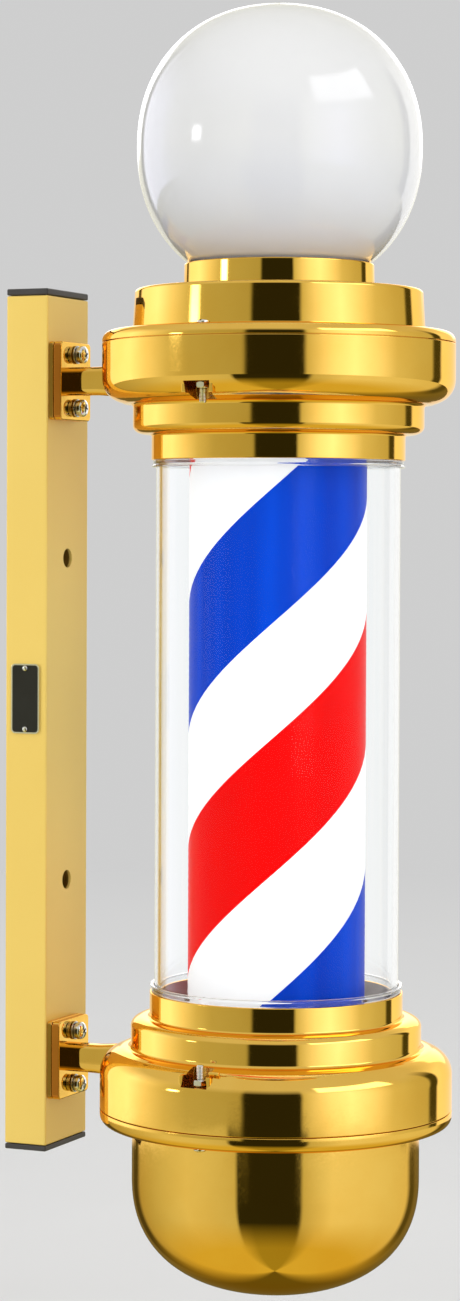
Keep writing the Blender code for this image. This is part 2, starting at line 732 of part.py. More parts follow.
def bottom_dome():
    """The cover under the lower housing: its lip and a deep bowl."""
    inside, outside = lip_profile(DOME_LEDGE)
    depth = DOME_BOTTOM - DOME_STRAIGHT
    level = (0, DOME_STRAIGHT)
    bowl = superellipse(level, (DOME_R, depth), DOME_POWER, 0, 90, 7)
    hollow = superellipse(level, (DOME_R - SHELL, depth - SHELL), DOME_POWER, 90, 0, 6)
    profile = [
        (0, DOME_BOTTOM - SHELL),
        *hollow[1:],
        (DOME_R - SHELL, DOME_LEDGE - SHELL),
        *inside,
        *outside,
        (DOME_R, DOME_LEDGE),
        *bowl[:-1],
        (0, DOME_BOTTOM),
    ]
    dome = turned("bottom_dome", flipped(profile, -1), mirror_gold(), POLE, closed=False)
    for turn in (-1, 1):
        cover_screw_hole(dome, -1, turn, SKIRT_END, DOME_LEDGE + OVER)
    at = (POLE_X, POLE_Y, GROMMET_Z)
    hole = prism("grommet_hole", MEDIUM, GROMMET_HOLE_R, -DOME_R - 2 * OVER, -DOME_R + 2 * OVER, at, OUT)
    boolean(dome, hole, "DIFFERENCE")


def cable_grommet():
    """A rubber grommet in the dome's rear wall, where a mains lead comes out."""
    out = -DOME_R - GROMMET_PLAY
    back = -DOME_R + SHELL + GROMMET_PLAY
    profile = [
        (GROMMET_LIP_R, out - GROMMET_LIP),
        (GROMMET_BORE_R, out - GROMMET_LIP),
        (GROMMET_BORE_R, back + GROMMET_LIP),
        (GROMMET_LIP_R, back + GROMMET_LIP),
        (GROMMET_LIP_R, back),
        (GROMMET_NECK_R, back),
        (GROMMET_NECK_R, out),
        (GROMMET_LIP_R, out),
    ]
    turned("cable_grommet", profile, rubber(), (POLE_X, POLE_Y, GROMMET_Z), sides=MEDIUM, rotation=OUT)


def cover_screw(place, side, turn):
    """A screw from the cover's ledge through the housing's boss, with its nut in the open pocket."""
    base = (TOP_LEDGE if side > 0 else DOME_LEDGE) + GAP
    top = base + COVER_HEAD
    flat, crown, edge = COVER_HEAD_EDGE
    profile = [
        (0, top),
        (COVER_HEAD_R * flat, base + COVER_HEAD * crown),
        (COVER_HEAD_R, base + COVER_HEAD * edge),
        (COVER_HEAD_R, base),
        (COVER_SCREW_R, base),
        (COVER_SCREW_R, COVER_SCREW_END),
        (0, COVER_SCREW_END),
    ]
    at = cover_screw_place(turn)
    screw = turned(f"{place}_screw", flipped(profile, side), chrome(), at, closed=False, sides=SMALL)
    half = COVER_SLOT_WIDTH / 2
    low, high = sorted((side * (top - COVER_SLOT_DEPTH), side * (top + OVER)))
    slot = box(f"{place}_slot", (-OVER, -half, low), (OVER, half, high))
    slot.location = at
    slot.rotation_euler = (0, 0, radians(COVER_SCREW_TURN))
    boolean(screw, slot, "DIFFERENCE")
    level = POCKET_FLOOR - GAP
    low, high = sorted((side * (level - COVER_NUT_THICK), side * level))
    hex_nut(f"{place}_nut", COVER_NUT_R, COVER_SCREW_R + GAP, low, high, at, (0, 0, 0), chrome())


# ------------------------------------------------------------------ globe and its lamp
def globe():
    """An opal glass ball, open at the bottom, with a short neck inside the cover's collar."""
    centre = (0, GLOBE_Z)
    inner_r = GLOBE_R - GLOBE_WALL
    outer = superellipse(centre, (GLOBE_R, GLOBE_R), GLOBE_POWER, 90, GLOBE_OPENING, 11)
    inner = superellipse(centre, (inner_r, inner_r), GLOBE_POWER, GLOBE_OPENING, 90, 9)
    shoulder = NECK_Z + GLOBE_SHOULDER
    profile = [
        (0, GLOBE_Z + GLOBE_R),
        *outer[1:],
        (GLOBE_NECK_R, shoulder),
        (GLOBE_NECK_R, GLOBE_NECK_END),
        (GLOBE_NECK_R - GLOBE_WALL, GLOBE_NECK_END),
        (GLOBE_NECK_R - GLOBE_WALL, shoulder),
        *inner[:-1],
        (0, GLOBE_Z + inner_r),
    ]
    turned("globe", profile, opal(), POLE, closed=False)


def inner_plate(name, side, hole):
    low, high = sorted((side * PLATE_LEVEL, side * (PLATE_LEVEL + PLATE_THICK)))
    radius = STEP_R - SHELL - GAP
    turned(name, ring_profile(hole, radius, low, high), zinc_steel(), POLE)


def lamp_holder():
    base = PLATE_LEVEL + PLATE_THICK + GAP
    top = base + HOLDER_HEIGHT
    profile = [
        (0, base + HOLDER_FLOOR),
        (HOLDER_BORE, base + HOLDER_FLOOR),
        (HOLDER_BORE, top),
        (HOLDER_R, top),
        (HOLDER_R, base + HOLDER_STEP + HOLDER_R - HOLDER_FOOT_R),
        (HOLDER_FOOT_R, base + HOLDER_STEP),
        (HOLDER_FOOT_R, base),
        (0, base),
    ]
    turned("lamp_holder", profile, white_plastic(), POLE, closed=False, sides=MEDIUM)


def globe_bulb():
    base = PLATE_LEVEL + PLATE_THICK + 2 * GAP + HOLDER_FLOOR
    neck = base + BULB_CAP
    ball = superellipse((0, neck + BULB_MIDDLE), (BULB_R, BULB_BALL), 2, 0, 90, 5)
    profile = [
        (0, neck + BULB_MIDDLE + BULB_BALL),
        *reversed(ball[:-1]),
        (BULB_SHOULDER[0], neck + BULB_SHOULDER[1]),
        (BULB_NECK_R, neck),
        (BULB_CAP_R, neck),
        (BULB_CAP_R, base + BULB_TIP),
        (BULB_TIP_R, base),
        (0, base),
    ]
    turned("globe_bulb", profile, white_plastic(), POLE, closed=False, sides=MEDIUM)


# ------------------------------------------------------------------ tube, drum and drive
def clear_tube():
    turned("clear_tube", ring_profile(TUBE_R - TUBE_WALL, TUBE_R, -TUBE_END, TUBE_END), clear_acrylic(), POLE)


def tube_seal(name, side):
    low, high = sorted((side * (RIM - GAP), side * (RIM - GAP - SEAL_HEIGHT)))
    turned(name, ring_profile(TUBE_R + GAP, COLLAR_R - SEAL_INSET, low, high), clear_acrylic(), POLE)


def drum_shell():
    turned("drum_shell", ring_profile(DRUM_R - DRUM_WALL, DRUM_R, -DRUM_END, DRUM_END), drum_film(), POLE)


def drum_hub():
    """The drum's lower disc, with the boss that the motor's shaft turns."""
    rim = DRUM_R - DRUM_WALL - GAP
    low = -DRUM_END + DISC_INSET
    high = low + DRUM_DISC
    bore = SHAFT_R + GAP
    profile = [
        (rim, high),
        (rim, low),
        (HUB_BOSS_R, low),
        (HUB_BOSS_R, low - HUB_BOSS[0]),
        (bore, low - HUB_BOSS[0]),
        (bore, high + HUB_BOSS[1]),
        (HUB_BOSS_R, high + HUB_BOSS[1]),
        (HUB_BOSS_R, high),
    ]
    turned("drum_hub", profile, white_plastic(), POLE)


def drum_top_ring():
    rim = DRUM_R - DRUM_WALL - GAP
    high = DRUM_END - DISC_INSET
    profile = ring_profile(BUSH_R + BUSH_PLAY, rim, high - DRUM_DISC, high)
    turned("drum_top_ring", profile, white_plastic(), POLE)


def guide_bush():
    """A ring on the mast that centres the top of the drum as it turns."""
    bore = MAST_SIDE * 0.5**0.5 + GAP
    turned("guide_bush", ring_profile(bore, BUSH_R, *BUSH_SPAN), white_plastic(), POLE, sides=MEDIUM)


def led_mast():
    half = MAST_SIDE / 2
    low = (POLE_X - half, POLE_Y - half, MAST_BOTTOM)
    high = (POLE_X + half, POLE_Y + half, PLATE_LEVEL - GAP)
    box("led_mast", low, high, aluminium())


def led_strip(name, turn):
    near = MAST_SIDE / 2 + GAP
    low_x, high_x = sorted((turn * near, turn * (near + STRIP_THICK)))
    low = (POLE_X + low_x, POLE_Y - STRIP_WIDTH / 2, MAST_BOTTOM + STRIP_INSET)
    high = (POLE_X + high_x, POLE_Y + STRIP_WIDTH / 2, STRIP_TOP)
    box(name, low, high, white_plastic())


def motor_shaft():
    prism("motor_shaft", SMALL, SHAFT_R, *SHAFT_SPAN, POLE, finish=chrome())


def gear_motor():
    """A flat synchronous motor with its gearbox and two ears, hung under the lower plate."""
    top = -PLATE_LEVEL - PLATE_THICK - GAP
    bottom = top - MOTOR_HEIGHT
    profile = [
        (0, MOTOR_NOSE_TOP),
        (MOTOR_NOSE_R, MOTOR_NOSE_TOP),
        (MOTOR_NOSE_R, top),
        (MOTOR_R, top),
        (MOTOR_R, bottom + MOTOR_EDGE),
        (MOTOR_R - MOTOR_EDGE, bottom),
        (0, bottom),
    ]
    motor = turned("gear_motor", profile, zinc_steel(), POLE, closed=False, sides=MEDIUM)
    half = EAR_WIDTH / 2
    ears = box("motor_ears", (-EAR_REACH, -half, top - EAR_THICK), (EAR_REACH, half, top))
    ears.location = POLE
    boolean(motor, ears, "UNION")


def led_driver():
    half = Vector(DRIVER_SIZE) / 2
    middle = Vector((POLE_X, POLE_Y, DRIVER_Z))
    rounded(box("led_driver", middle - half, middle + half, white_plastic()), DRIVER_EDGE)


# ------------------------------------------------------------------ the whole light
def build():
    wall_rail()
    rail_cap("rail_top_cap", 1, TOP_CAP)
    rail_cap("rail_bottom_cap", -1, BOTTOM_CAP)
    badge()
    for end, side in (("upper", 1), ("lower", -1)):
        bracket_back_plate(f"{end}_bracket_back_plate", side)
        bracket_arm(f"{end}_bracket_arm", side)
        nut_plate(f"{end}_nut_plate", side)
        arm_set_screw(f"{end}_arm_set_screw", side)
        arm_nut(f"{end}_arm_nut", side)
        for step, level in ((1, "top"), (-1, "bottom")):
            bracket_bolt(f"{end}_bracket_{level}", side, step)
        housing(f"{end}_housing", side)
        tube_seal(f"{end}_tube_seal", side)
        for turn, hand in ((-1, "left"), (1, "right")):
            cover_screw(f"{end}_cover_{hand}", side, turn)
    top_cover()
    bottom_dome()
    cable_grommet()
    globe()
    inner_plate("lamp_plate", 1, LAMP_PLATE_HOLE)
    inner_plate("motor_plate", -1, MOTOR_PLATE_HOLE)
    lamp_holder()
    globe_bulb()
    clear_tube()
    drum_shell()
    drum_hub()
    drum_top_ring()
    guide_bush()
    led_mast()
    led_strip("led_strip_left", -1)
    led_strip("led_strip_right", 1)
    motor_shaft()
    gear_motor()
    led_driver()


for old in list(bpy.data.objects):
    bpy.data.objects.remove(old)
bpy.context.scene.collection.children.link(parts)
bpy.context.scene.collection.children.link(cutters)
build()
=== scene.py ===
"""Looks of the barber pole light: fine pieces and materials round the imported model, and its studio."""

import json
from math import atan2, ceil, cos, pi, radians, sin, tan

import bmesh
import bpy
from mathutils import Matrix, Vector


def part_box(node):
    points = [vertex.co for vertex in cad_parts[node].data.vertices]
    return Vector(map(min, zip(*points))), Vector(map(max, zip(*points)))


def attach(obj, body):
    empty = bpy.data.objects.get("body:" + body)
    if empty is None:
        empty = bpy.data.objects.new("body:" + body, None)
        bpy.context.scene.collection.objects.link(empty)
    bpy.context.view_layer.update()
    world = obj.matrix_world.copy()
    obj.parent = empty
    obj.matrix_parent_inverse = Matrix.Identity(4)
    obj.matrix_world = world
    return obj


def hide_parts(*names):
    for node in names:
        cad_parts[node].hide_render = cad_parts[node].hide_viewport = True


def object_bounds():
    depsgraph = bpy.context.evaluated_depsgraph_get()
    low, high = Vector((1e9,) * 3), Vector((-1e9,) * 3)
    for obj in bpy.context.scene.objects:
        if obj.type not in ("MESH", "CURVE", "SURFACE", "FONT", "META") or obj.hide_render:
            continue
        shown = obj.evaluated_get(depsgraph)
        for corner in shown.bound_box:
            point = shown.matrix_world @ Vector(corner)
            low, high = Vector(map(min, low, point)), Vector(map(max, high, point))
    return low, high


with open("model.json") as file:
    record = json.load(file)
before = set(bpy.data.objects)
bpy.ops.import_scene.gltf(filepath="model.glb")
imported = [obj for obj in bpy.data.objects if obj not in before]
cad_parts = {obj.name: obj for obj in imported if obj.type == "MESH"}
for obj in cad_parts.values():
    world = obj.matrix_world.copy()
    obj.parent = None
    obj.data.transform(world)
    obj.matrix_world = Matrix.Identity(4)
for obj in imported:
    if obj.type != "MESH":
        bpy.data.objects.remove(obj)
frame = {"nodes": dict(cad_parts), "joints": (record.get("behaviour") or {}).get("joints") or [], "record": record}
CAD_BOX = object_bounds()

MM = 0.001
SPIN = [j for j in frame["joints"] if j["name"] == "drum_spin"][0]
POLE = Vector((SPIN["pos_m"][0], SPIN["pos_m"][1], 0))
BODY, DRUM = "body", "drum"

# sections of the turned pieces, as distances from the pole axis and from the tube's middle
COLLAR_R = 67.5 * MM
STEP_R = 77.5 * MM
BULGE_R = 94 * MM
SHELL = 2.2 * MM
DRUM_HOLE_R = 50 * MM
POCKET_WIDTH = 15 * MM
POCKET_TOP = 166 * MM
POCKET_FLOOR = 180 * MM
COVER_HEAD = 2.2 * MM
NECK_R = 50.4 * MM
GLOBE_SEAT_R = 43.5 * MM
SEAT_R = 65.3 * MM
SEAT_DEPTH = 153 * MM
COVER_SEAM = 203.55 * MM
SKIRT_END = 199.6 * MM
LIP_R = 86 * MM
LEDGE_WALL = 2.4 * MM
BEAD = 0.5 * MM
BOLT_HOLE_R = 2.8 * MM
SCREW_HOLE_R = 2.3 * MM
ARM_HALF_HEIGHT = 7.75 * MM
FLAT_EDGE = 1e-9
GLOBE_POWER = 2.18
DOME_POWER = 2.35
DOME_STRAIGHT = 240 * MM
STRIPE_LEAD = 266 * MM
FINE = 224  # sides of the large turned pieces


# ------------------------------------------------------------------ mesh tools
def add(name, mesh, location=(0, 0, 0), rotation=(0, 0, 0)):
    made = bpy.data.objects.new(name, mesh)
    made.location = location
    made.rotation_euler = rotation
    bpy.context.scene.collection.objects.link(made)
    return made


def finish_mesh(shape, name, angle=32):
    made = bpy.data.meshes.new(name)
    shape.to_mesh(made)
    shape.free()
    made.shade_smooth()
    made.set_sharp_from_angle(angle=radians(angle))
    return made


def outline(corners, closed=True):
    """A section whose corners (radius, height, fillet) are rounded with arcs."""
    points = []
    count = len(corners)
    for i, (across, along, fillet) in enumerate(corners):
        here = Vector((across, along))
        end = not closed and i in (0, count - 1)
        before = Vector(corners[i - 1][:2]) - here
        after = Vector(corners[(i + 1) % count][:2]) - here
        half = before.angle(after) / 2 if before.length and after.length else pi / 2
        if fillet <= 0 or end or half > radians(88):
            points.append((across, along))
            continue
        reach = min(fillet / tan(half), 0.49 * before.length, 0.49 * after.length)
        radius = reach * tan(half)
        centre = here + (before.normalized() + after.normalized()).normalized() * reach / cos(half)
        first = here + before.normalized() * reach - centre
        last = here + after.normalized() * reach - centre
        turn = atan2(first.x * last.y - first.y * last.x, first.dot(last))
        steps = max(3, min(9, ceil(radius / (0.35 * MM)))) + 1
        start = atan2(first.y, first.x)
        for k in range(steps + 1):
            angle = start + turn * k / steps
            points.append((centre.x + radius * cos(angle), centre.y + radius * sin(angle)))
    return points


def superellipse(centre, size, power, start, end, count):
    points = []
    for i in range(count):
        turn = radians(start + (end - start) * i / (count - 1))
        across = abs(cos(turn)) ** (2 / power) * size[0] * (1 if cos(turn) >= 0 else -1)
        along = abs(sin(turn)) ** (2 / power) * size[1] * (1 if sin(turn) >= 0 else -1)
        points.append((centre[0] + across, centre[1] + along))
    return points


def turned(name, section, sides=FINE, closed=True, location=None, rotation=(0, 0, 0), angle=32):
    """Turns a section of (radius, height) points about Z. An open one starts and ends on the axis."""
    ring = list(section) + ([section[0]] if closed else [])
    area = sum(a[0] * b[1] - b[0] * a[1] for a, b in zip(ring, ring[1:]))
    points = list(section) if area > 0 else list(reversed(section))
    shape = bmesh.new()
    rows = []
    for radius, height in points:
        if radius < 1e-7:
            rows.append([shape.verts.new((0, 0, height))] * sides)
            continue
        turns = (2 * pi * k / sides for k in range(sides))
        rows.append([shape.verts.new((radius * cos(t), radius * sin(t), height)) for t in turns])
    pairs = list(zip(rows, rows[1:])) + ([(rows[-1], rows[0])] if closed else [])
    for upper, lower in pairs:
        for k in range(sides):
            corners = [upper[k], upper[(k + 1) % sides], lower[(k + 1) % sides], lower[k]]
            face = [v for i, v in enumerate(corners) if v not in corners[:i]]
            if len(face) > 2:
                shape.faces.new(face)
    bmesh.ops.recalc_face_normals(shape, faces=shape.faces)
    return add(name, finish_mesh(shape, name, angle), POLE if location is None else location, rotation)


def skin(shape, rows):
    """Faces between closed rows of corners, and over both ends."""
    count = len(rows[0])
    for near, far in zip(rows, rows[1:]):
        for k in range(count):
            after = (k + 1) % count
            shape.faces.new((near[k], near[after], far[after], far[k]))
    shape.faces.new(rows[0])
    shape.faces.new(rows[-1])
    bmesh.ops.recalc_face_normals(shape, faces=shape.faces)


def soften(shape, edges, radius, segments):
    bmesh.ops.bevel(shape, geom=edges, offset=radius, segments=segments, profile=0.5, affect="EDGES")


def span(edge, axis):
    """How far an edge runs along an axis."""
    return abs(edge.verts[0].co[axis] - edge.verts[1].co[axis])


def cube(low, high):
    low, high = Vector(low), Vector(high)
    shape = bmesh.new()
    size = Matrix.Diagonal((*(high - low), 1.0))
    bmesh.ops.create_cube(shape, size=1.0, matrix=Matrix.Translation((low + high) / 2) @ size)
    return shape


def block(name, low, high, bevel=0.0, segments=4, at=(0, 0, 0), rotation=(0, 0, 0)):
    """A box with all its edges rounded."""
    shape = cube(low, high)
    if bevel > 0:
        soften(shape, shape.edges[:], bevel, segments)
    return add(name, finish_mesh(shape, name), at, rotation)


def prism(name, sides, radius, low, high, at=(0, 0, 0), rotation=(0, 0, 0), bevel=0.0):
    """A regular prism along its own Z; with many sides, a cylinder."""
    shape = bmesh.new()
    middle = Matrix.Translation((0, 0, (low + high) / 2))
    radii = {"radius1": radius, "radius2": radius}
    bmesh.ops.create_cone(shape, cap_ends=True, segments=sides, depth=high - low, matrix=middle, **radii)
    if bevel > 0:
        soften(shape, [e for e in shape.edges if span(e, 2) < FLAT_EDGE], bevel, 3)
    return add(name, finish_mesh(shape, name), at, rotation)


def centre(node):
    """The middle of a CAD node's box."""
    low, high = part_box(node)
    return (low + high) / 2


def settle(piece):
    """Applies the piece's modifiers, and its place, to its mesh."""
    bpy.context.view_layer.update()
    source = piece.evaluated_get(bpy.context.evaluated_depsgraph_get())
    mesh = bpy.data.meshes.new_from_object(source)
    mesh.transform(piece.matrix_world)
    piece.modifiers.clear()
    piece.data = mesh
    piece.matrix_world = Matrix.Identity(4)
    return piece


def combine(piece, others, operation="DIFFERENCE", angle=32):
    """Cuts the others out of the piece, or joins them to it, and removes them."""
    for other in others:
        step = piece.modifiers.new(other.name, "BOOLEAN")
        step.object = other
        step.operation = operation
        step.solver = "EXACT"
    settle(piece)
    for other in others:
        bpy.data.objects.remove(other)
    piece.data.shade_smooth()
    piece.data.set_sharp_from_angle(angle=radians(angle))
    return piece


def flatten(piece):
    """Keeps the shading of a flat or straight wall even beside its small fillets."""
    step = piece.modifiers.new("normals", "WEIGHTED_NORMAL")
    step.keep_sharp = True
    step.weight = 50


def place(piece, body, slot, material, *nodes, flat=True):
    """Puts a finished piece on its body, in place of the CAD nodes that it stands for."""
    if flat:
        flatten(piece)
    settle(piece)
    piece.data.materials.clear()
    for each in material if isinstance(material, (list, tuple)) else [material]:
        piece.data.materials.append(each)
    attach(piece, body)
    if nodes:
        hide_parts(*nodes)
    return piece


OUT = (pi / 2, 0, 0)  # turns a piece's own +Z to -Y, away from the wall


def facing_out(angle):
    """OUT, after a turn about the piece's own Z."""
    return (Matrix.Rotation(pi / 2, 3, "X") @ Matrix.Rotation(angle, 3, "Z")).to_euler()


# ------------------------------------------------------------------ materials
class Look:
    """A node material: a Principled BSDF, with helpers for the textures that feed it."""

    def __init__(self, name, **values):
        self.material = bpy.data.materials.new(name)
        self.material.use_nodes = True
        self.tree = self.material.node_tree
        self.shader = self.tree.nodes["Principled BSDF"]
        for key, value in values.items():
            self.shader.inputs[key.replace("_", " ")].default_value = value
        self.coords = self.tree.nodes.new("ShaderNodeTexCoord").outputs["Object"]

    def link(self, source, target):
        self.tree.links.new(source, target)

    def stretched(self, scale):
        mapping = self.tree.nodes.new("ShaderNodeMapping")
        mapping.inputs["Scale"].default_value = scale
        self.link(self.coords, mapping.inputs["Vector"])
        return mapping.outputs["Vector"]

    def noise(self, scale, detail=3.0, vector=None, roughness=0.5):
        node = self.tree.nodes.new("ShaderNodeTexNoise")
        node.inputs["Scale"].default_value = scale
        node.inputs["Detail"].default_value = detail
        node.inputs["Roughness"].default_value = roughness
        self.link(vector or self.coords, node.inputs["Vector"])
        return node.outputs["Fac"]

    def levels(self, value, low, high, to_low, to_high):
        node = self.tree.nodes.new("ShaderNodeMapRange")
        for key, number in zip(("From Min", "From Max", "To Min", "To Max"), (low, high, to_low, to_high)):
            node.inputs[key].default_value = number
        self.link(value, node.inputs["Value"])
        return node.outputs["Result"]

    def blend(self, factor, first, second):
        node = self.tree.nodes.new("ShaderNodeMix")
        node.data_type = "RGBA"
        self.link(factor, node.inputs["Factor"])
        for key, colour in (("A", first), ("B", second)):
            socket = [s for s in node.inputs if s.name == key and s.type == "RGBA"][0]
            if hasattr(colour, "links"):
                self.link(colour, socket)
            else:
                socket.default_value = (*colour, 1.0)
        return [s for s in node.outputs if s.type == "RGBA"][0]

    def tones(self, source, first, second, low=0.3, high=0.7):
        """Two colours, blended as the source goes from low to high."""
        return self.blend(self.levels(source, low, high, 0, 1), first, second)

    def colour(self, source):
        self.link(source, self.shader.inputs["Base Color"])

    def roughness(self, source):
        self.link(source, self.shader.inputs["Roughness"])

    def bump(self, *layers):
        """Layers of (height, strength, distance), each on top of the last."""
        normal = None
        for height, strength, distance in layers:
            node = self.tree.nodes.new("ShaderNodeBump")
            node.inputs["Strength"].default_value = strength
            node.inputs["Distance"].default_value = distance
            self.link(height, node.inputs["Height"])
            if normal:
                self.link(normal, node.inputs["Normal"])
            normal = node.outputs["Normal"]
        self.link(normal, self.shader.inputs["Normal"])


def mirror_gold(name, light=(0.94, 0.61, 0.14), deep=(0.91, 0.56, 0.11), rough=0.04):
    """Mirror plating on a moulding: faint waves from the mould, a few hazy patches and hair scratches."""
    look = Look(name, Metallic=1.0, Specular_Tint=(1.0, 0.78, 0.55, 1.0))
    haze = look.noise(28, 4)
    look.colour(look.tones(haze, light, deep, 0.35))
    grain = look.noise(900, 2)
    patches = look.levels(haze, 0.3, 0.75, rough * 0.7, rough * 1.9)
    mix = look.tree.nodes.new("ShaderNodeMath")
    mix.operation = "ADD"
    look.link(patches, mix.inputs[0])
    look.link(look.levels(grain, 0.45, 0.8, 0, rough), mix.inputs[1])
    look.roughness(mix.outputs[0])
    scratches = look.noise(420, 2, look.stretched((1, 1, 0.06)))
    look.bump((look.noise(26, 2), 0.14, 0.0006), (scratches, 0.02, 0.0001))
    return look.material


def painted_gold():
    """Satin gold paint on steel, with a fine metallic grain and a slight orange peel."""
    look = Look("painted_gold", Metallic=0.3, Coat_Weight=0.25, Coat_Roughness=0.2)
    flakes = look.noise(2600, 2)
    cloud = look.noise(9, 3)
    base = look.tones(cloud, (0.96, 0.69, 0.165), (0.92, 0.65, 0.145))
    look.colour(look.blend(look.levels(flakes, 0.5, 0.85, 0, 0.35), base, (0.98, 0.82, 0.36)))
    look.roughness(look.levels(flakes, 0.3, 0.7, 0.38, 0.5))
    look.bump((look.noise(520, 3), 0.12, 0.0002), (flakes, 0.08, 0.00005))
    return look.material


def moulded(name, light, dark, rough=(0.35, 0.5), grain=1800, strength=0.15):
    """Moulded plastic with a fine grained skin."""
    look = Look(name)
    spots = look.noise(grain, 2)
    look.colour(look.tones(look.noise(40, 3), light, dark))
    look.roughness(look.levels(spots, 0.3, 0.7, *rough))
    look.bump((spots, strength, 0.0001))
    return look.material


def metal(name, light, dark, rough=(0.08, 0.2), grain=700, strength=0.1):
    """Plated or bare metal with fine marks from handling."""
    look = Look(name, Metallic=1.0)
    marks = look.noise(grain, 4, roughness=0.7)
    look.colour(look.tones(marks, light, dark, high=0.75))
    look.roughness(look.levels(look.noise(160, 3), 0.3, 0.7, *rough))
    look.bump((marks, strength, 0.00006))
    return look.material


def opal():
    """Opal glass: white through and through, under a glossy skin with faint waves, and greyer towards its neck
    with painted shade.
    """
    under = {"Subsurface_Weight": 0.35, "Subsurface_Radius": (0.02, 0.02, 0.02), "Subsurface_Scale": 0.4}
    look = Look("opal", Coat_Weight=0.6, Coat_Roughness=0.02, **under)
    glass = look.tones(look.noise(16, 4), (0.775, 0.78, 0.79), (0.75, 0.755, 0.77))
    split = look.tree.nodes.new("ShaderNodeSeparateXYZ")
    look.link(look.coords, split.inputs[0])
    # greyer and bluer towards the neck: painted shade, against the warm light thrown up by the gold
    thick = look.levels(split.outputs["Z"], 0.305, 0.245, 0, 1)
    look.colour(look.blend(thick, glass, (0.64, 0.67, 0.75)))
    look.roughness(look.levels(look.noise(60, 3), 0.3, 0.7, 0.06, 0.13))
    look.bump((look.noise(14, 2), 0.05, 0.0006))
    return look.material


def clear(name, rough=(0.0, 0.02), facing=0.06):
    """Clear acrylic with faint draw lines along its length."""
    look = Look(name, Transmission_Weight=1.0, IOR=1.49, Specular_Tint=(facing, facing, facing, 1))
    lines = look.noise(240, 2, look.stretched((1, 1, 0.03)))
    look.colour(look.tones(lines, (0.985, 0.99, 0.99), (0.96, 0.975, 0.98)))
    look.roughness(look.levels(look.noise(300, 3), 0.4, 0.8, *rough))
    look.bump((lines, 0.02, 0.00005))
    return look.material


def film(name, light, dark, painted_glow):
    """Printed film that glows with painted light: fine print grain, and faint streaks of painted reflection along
    the drum.
    """
    look = Look(name, Specular_IOR_Level=0.05, Emission_Strength=painted_glow)
    # faint streaks of painted reflection along the drum, between the light and the dark colour
    bands = look.noise(70, 2, look.stretched((1, 1, 0.02)))
    grain = look.noise(1500, 2)
    base = look.tones(bands, light, dark)
    shade = tuple(0.82 * value for value in light)
    tone = look.blend(look.levels(grain, 0.55, 0.9, 0, 0.4), base, shade)
    look.colour(tone)
    # the film's glow: painted light
    look.link(tone, look.shader.inputs["Emission Color"])
    look.roughness(look.levels(grain, 0.3, 0.7, 0.3, 0.42))
    look.bump((grain, 0.05, 0.00005))
    return look.material


GOLD = mirror_gold("mirror_gold")
GOLD_STEEL = mirror_gold("mirror_gold_steel", (0.92, 0.59, 0.14), (0.88, 0.52, 0.10), 0.05)
# darker, more orange copies of the gold for the cut sides of the bracket plates: painted shade
GOLD_PAINTED_EDGE_SHADE = mirror_gold("mirror_gold_painted_edge_shade", (0.62, 0.24, 0.04), (0.5, 0.18, 0.03))
GOLD_PAINTED_SHADE = mirror_gold("mirror_gold_painted_shade", (0.42, 0.24, 0.05), (0.34, 0.19, 0.04))
# a darker copy of the gold for the walls and floors of the housings' pockets: painted shade; it is also rougher
POCKET_GOLD_PAINTED_SHADE = mirror_gold("mirror_gold_pocket_painted_shade", (0.86, 0.5, 0.12), (0.62, 0.3, 0.06), 0.16)
# the housings' faces inside the tube's seat: a pale unplated colour, made paler against the shadow there, so
# partly painted light
RECESS_WITH_PAINTED_LIGHT = moulded("pale_recess_with_painted_light", (0.74, 0.66, 0.64), (0.66, 0.58, 0.56), (0.12, 0.22), 900, 0.05)
PAINT = painted_gold()
CAP = moulded("black_plastic", (0.055, 0.052, 0.056), (0.04, 0.038, 0.041), (0.38, 0.5))
BADGE = moulded("badge_black", (0.012, 0.012, 0.013), (0.007, 0.007, 0.008), (0.12, 0.2), 600, 0.04)
CHROME = metal("chrome", (0.86, 0.87, 0.89), (0.74, 0.75, 0.78), (0.05, 0.14))
ZINC = metal("zinc_steel", (0.66, 0.67, 0.68), (0.55, 0.56, 0.58), (0.22, 0.36))
SILVER = metal("badge_border", (0.92, 0.92, 0.92), (0.84, 0.84, 0.84), (0.15, 0.25))
OPAL = opal()
TUBE = clear("clear_acrylic")
SEAL = clear("clear_seal", (0.05, 0.12), 0.6)
# the films glow with painted light; each dark colour is for the streaks of painted reflection
WHITE_FILM = film("white_film", (0.95, 0.95, 0.95), (0.92, 0.925, 0.935), 0.5)
BLUE_FILM = film("blue_film", (0.0005, 0.075, 0.76), (0.0005, 0.045, 0.58), 0.2)
RED_FILM = film("red_film", (0.95, 0.0008, 0.001), (0.84, 0.0006, 0.0008), 0.35)
WHITE = moulded("white_plastic", (0.80, 0.80, 0.77), (0.74, 0.74, 0.71))
BOARD = moulded("led_board", (0.88, 0.88, 0.84), (0.82, 0.82, 0.78), (0.25, 0.35))
ALUMINIUM = metal("aluminium", (0.78, 0.78, 0.80), (0.68, 0.68, 0.70), (0.25, 0.4), 500)
RUBBER = moulded("rubber", (0.022, 0.022, 0.022), (0.014, 0.014, 0.014), (0.6, 0.75))


# ------------------------------------------------------------------ rail
def rail():
    low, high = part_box("wall_rail")
    piece = block("rail_tube", low, high, 0.9 * MM, 3)
    wall, over = 1.5 * MM, 4 * MM
    inside = (low + Vector((wall, wall, -over)), high + Vector((-wall, -wall, over)))
    cutters = [block("bore", *inside)]
    front, middle = -low.y + over, -low.y / 2
    openings = {o["name"]: o["box_m"] for o in frame["record"]["physics"]["openings"]}
    for side in ("upper", "lower"):
        box = openings[f"{side}_access_hole"]
        at = (0, 0, (box[0][2] + box[1][2]) / 2)
        cutters.append(prism("access", 48, 5.25 * MM, middle, front, at, OUT))
        cutters.append(prism("screw", 32, 3.25 * MM, -over, middle, at, OUT))
        cutters += bolt_cutters(side, 24, middle, front)
    combine(piece, cutters)
    place(piece, BODY, "painted_gold", PAINT, "wall_rail")


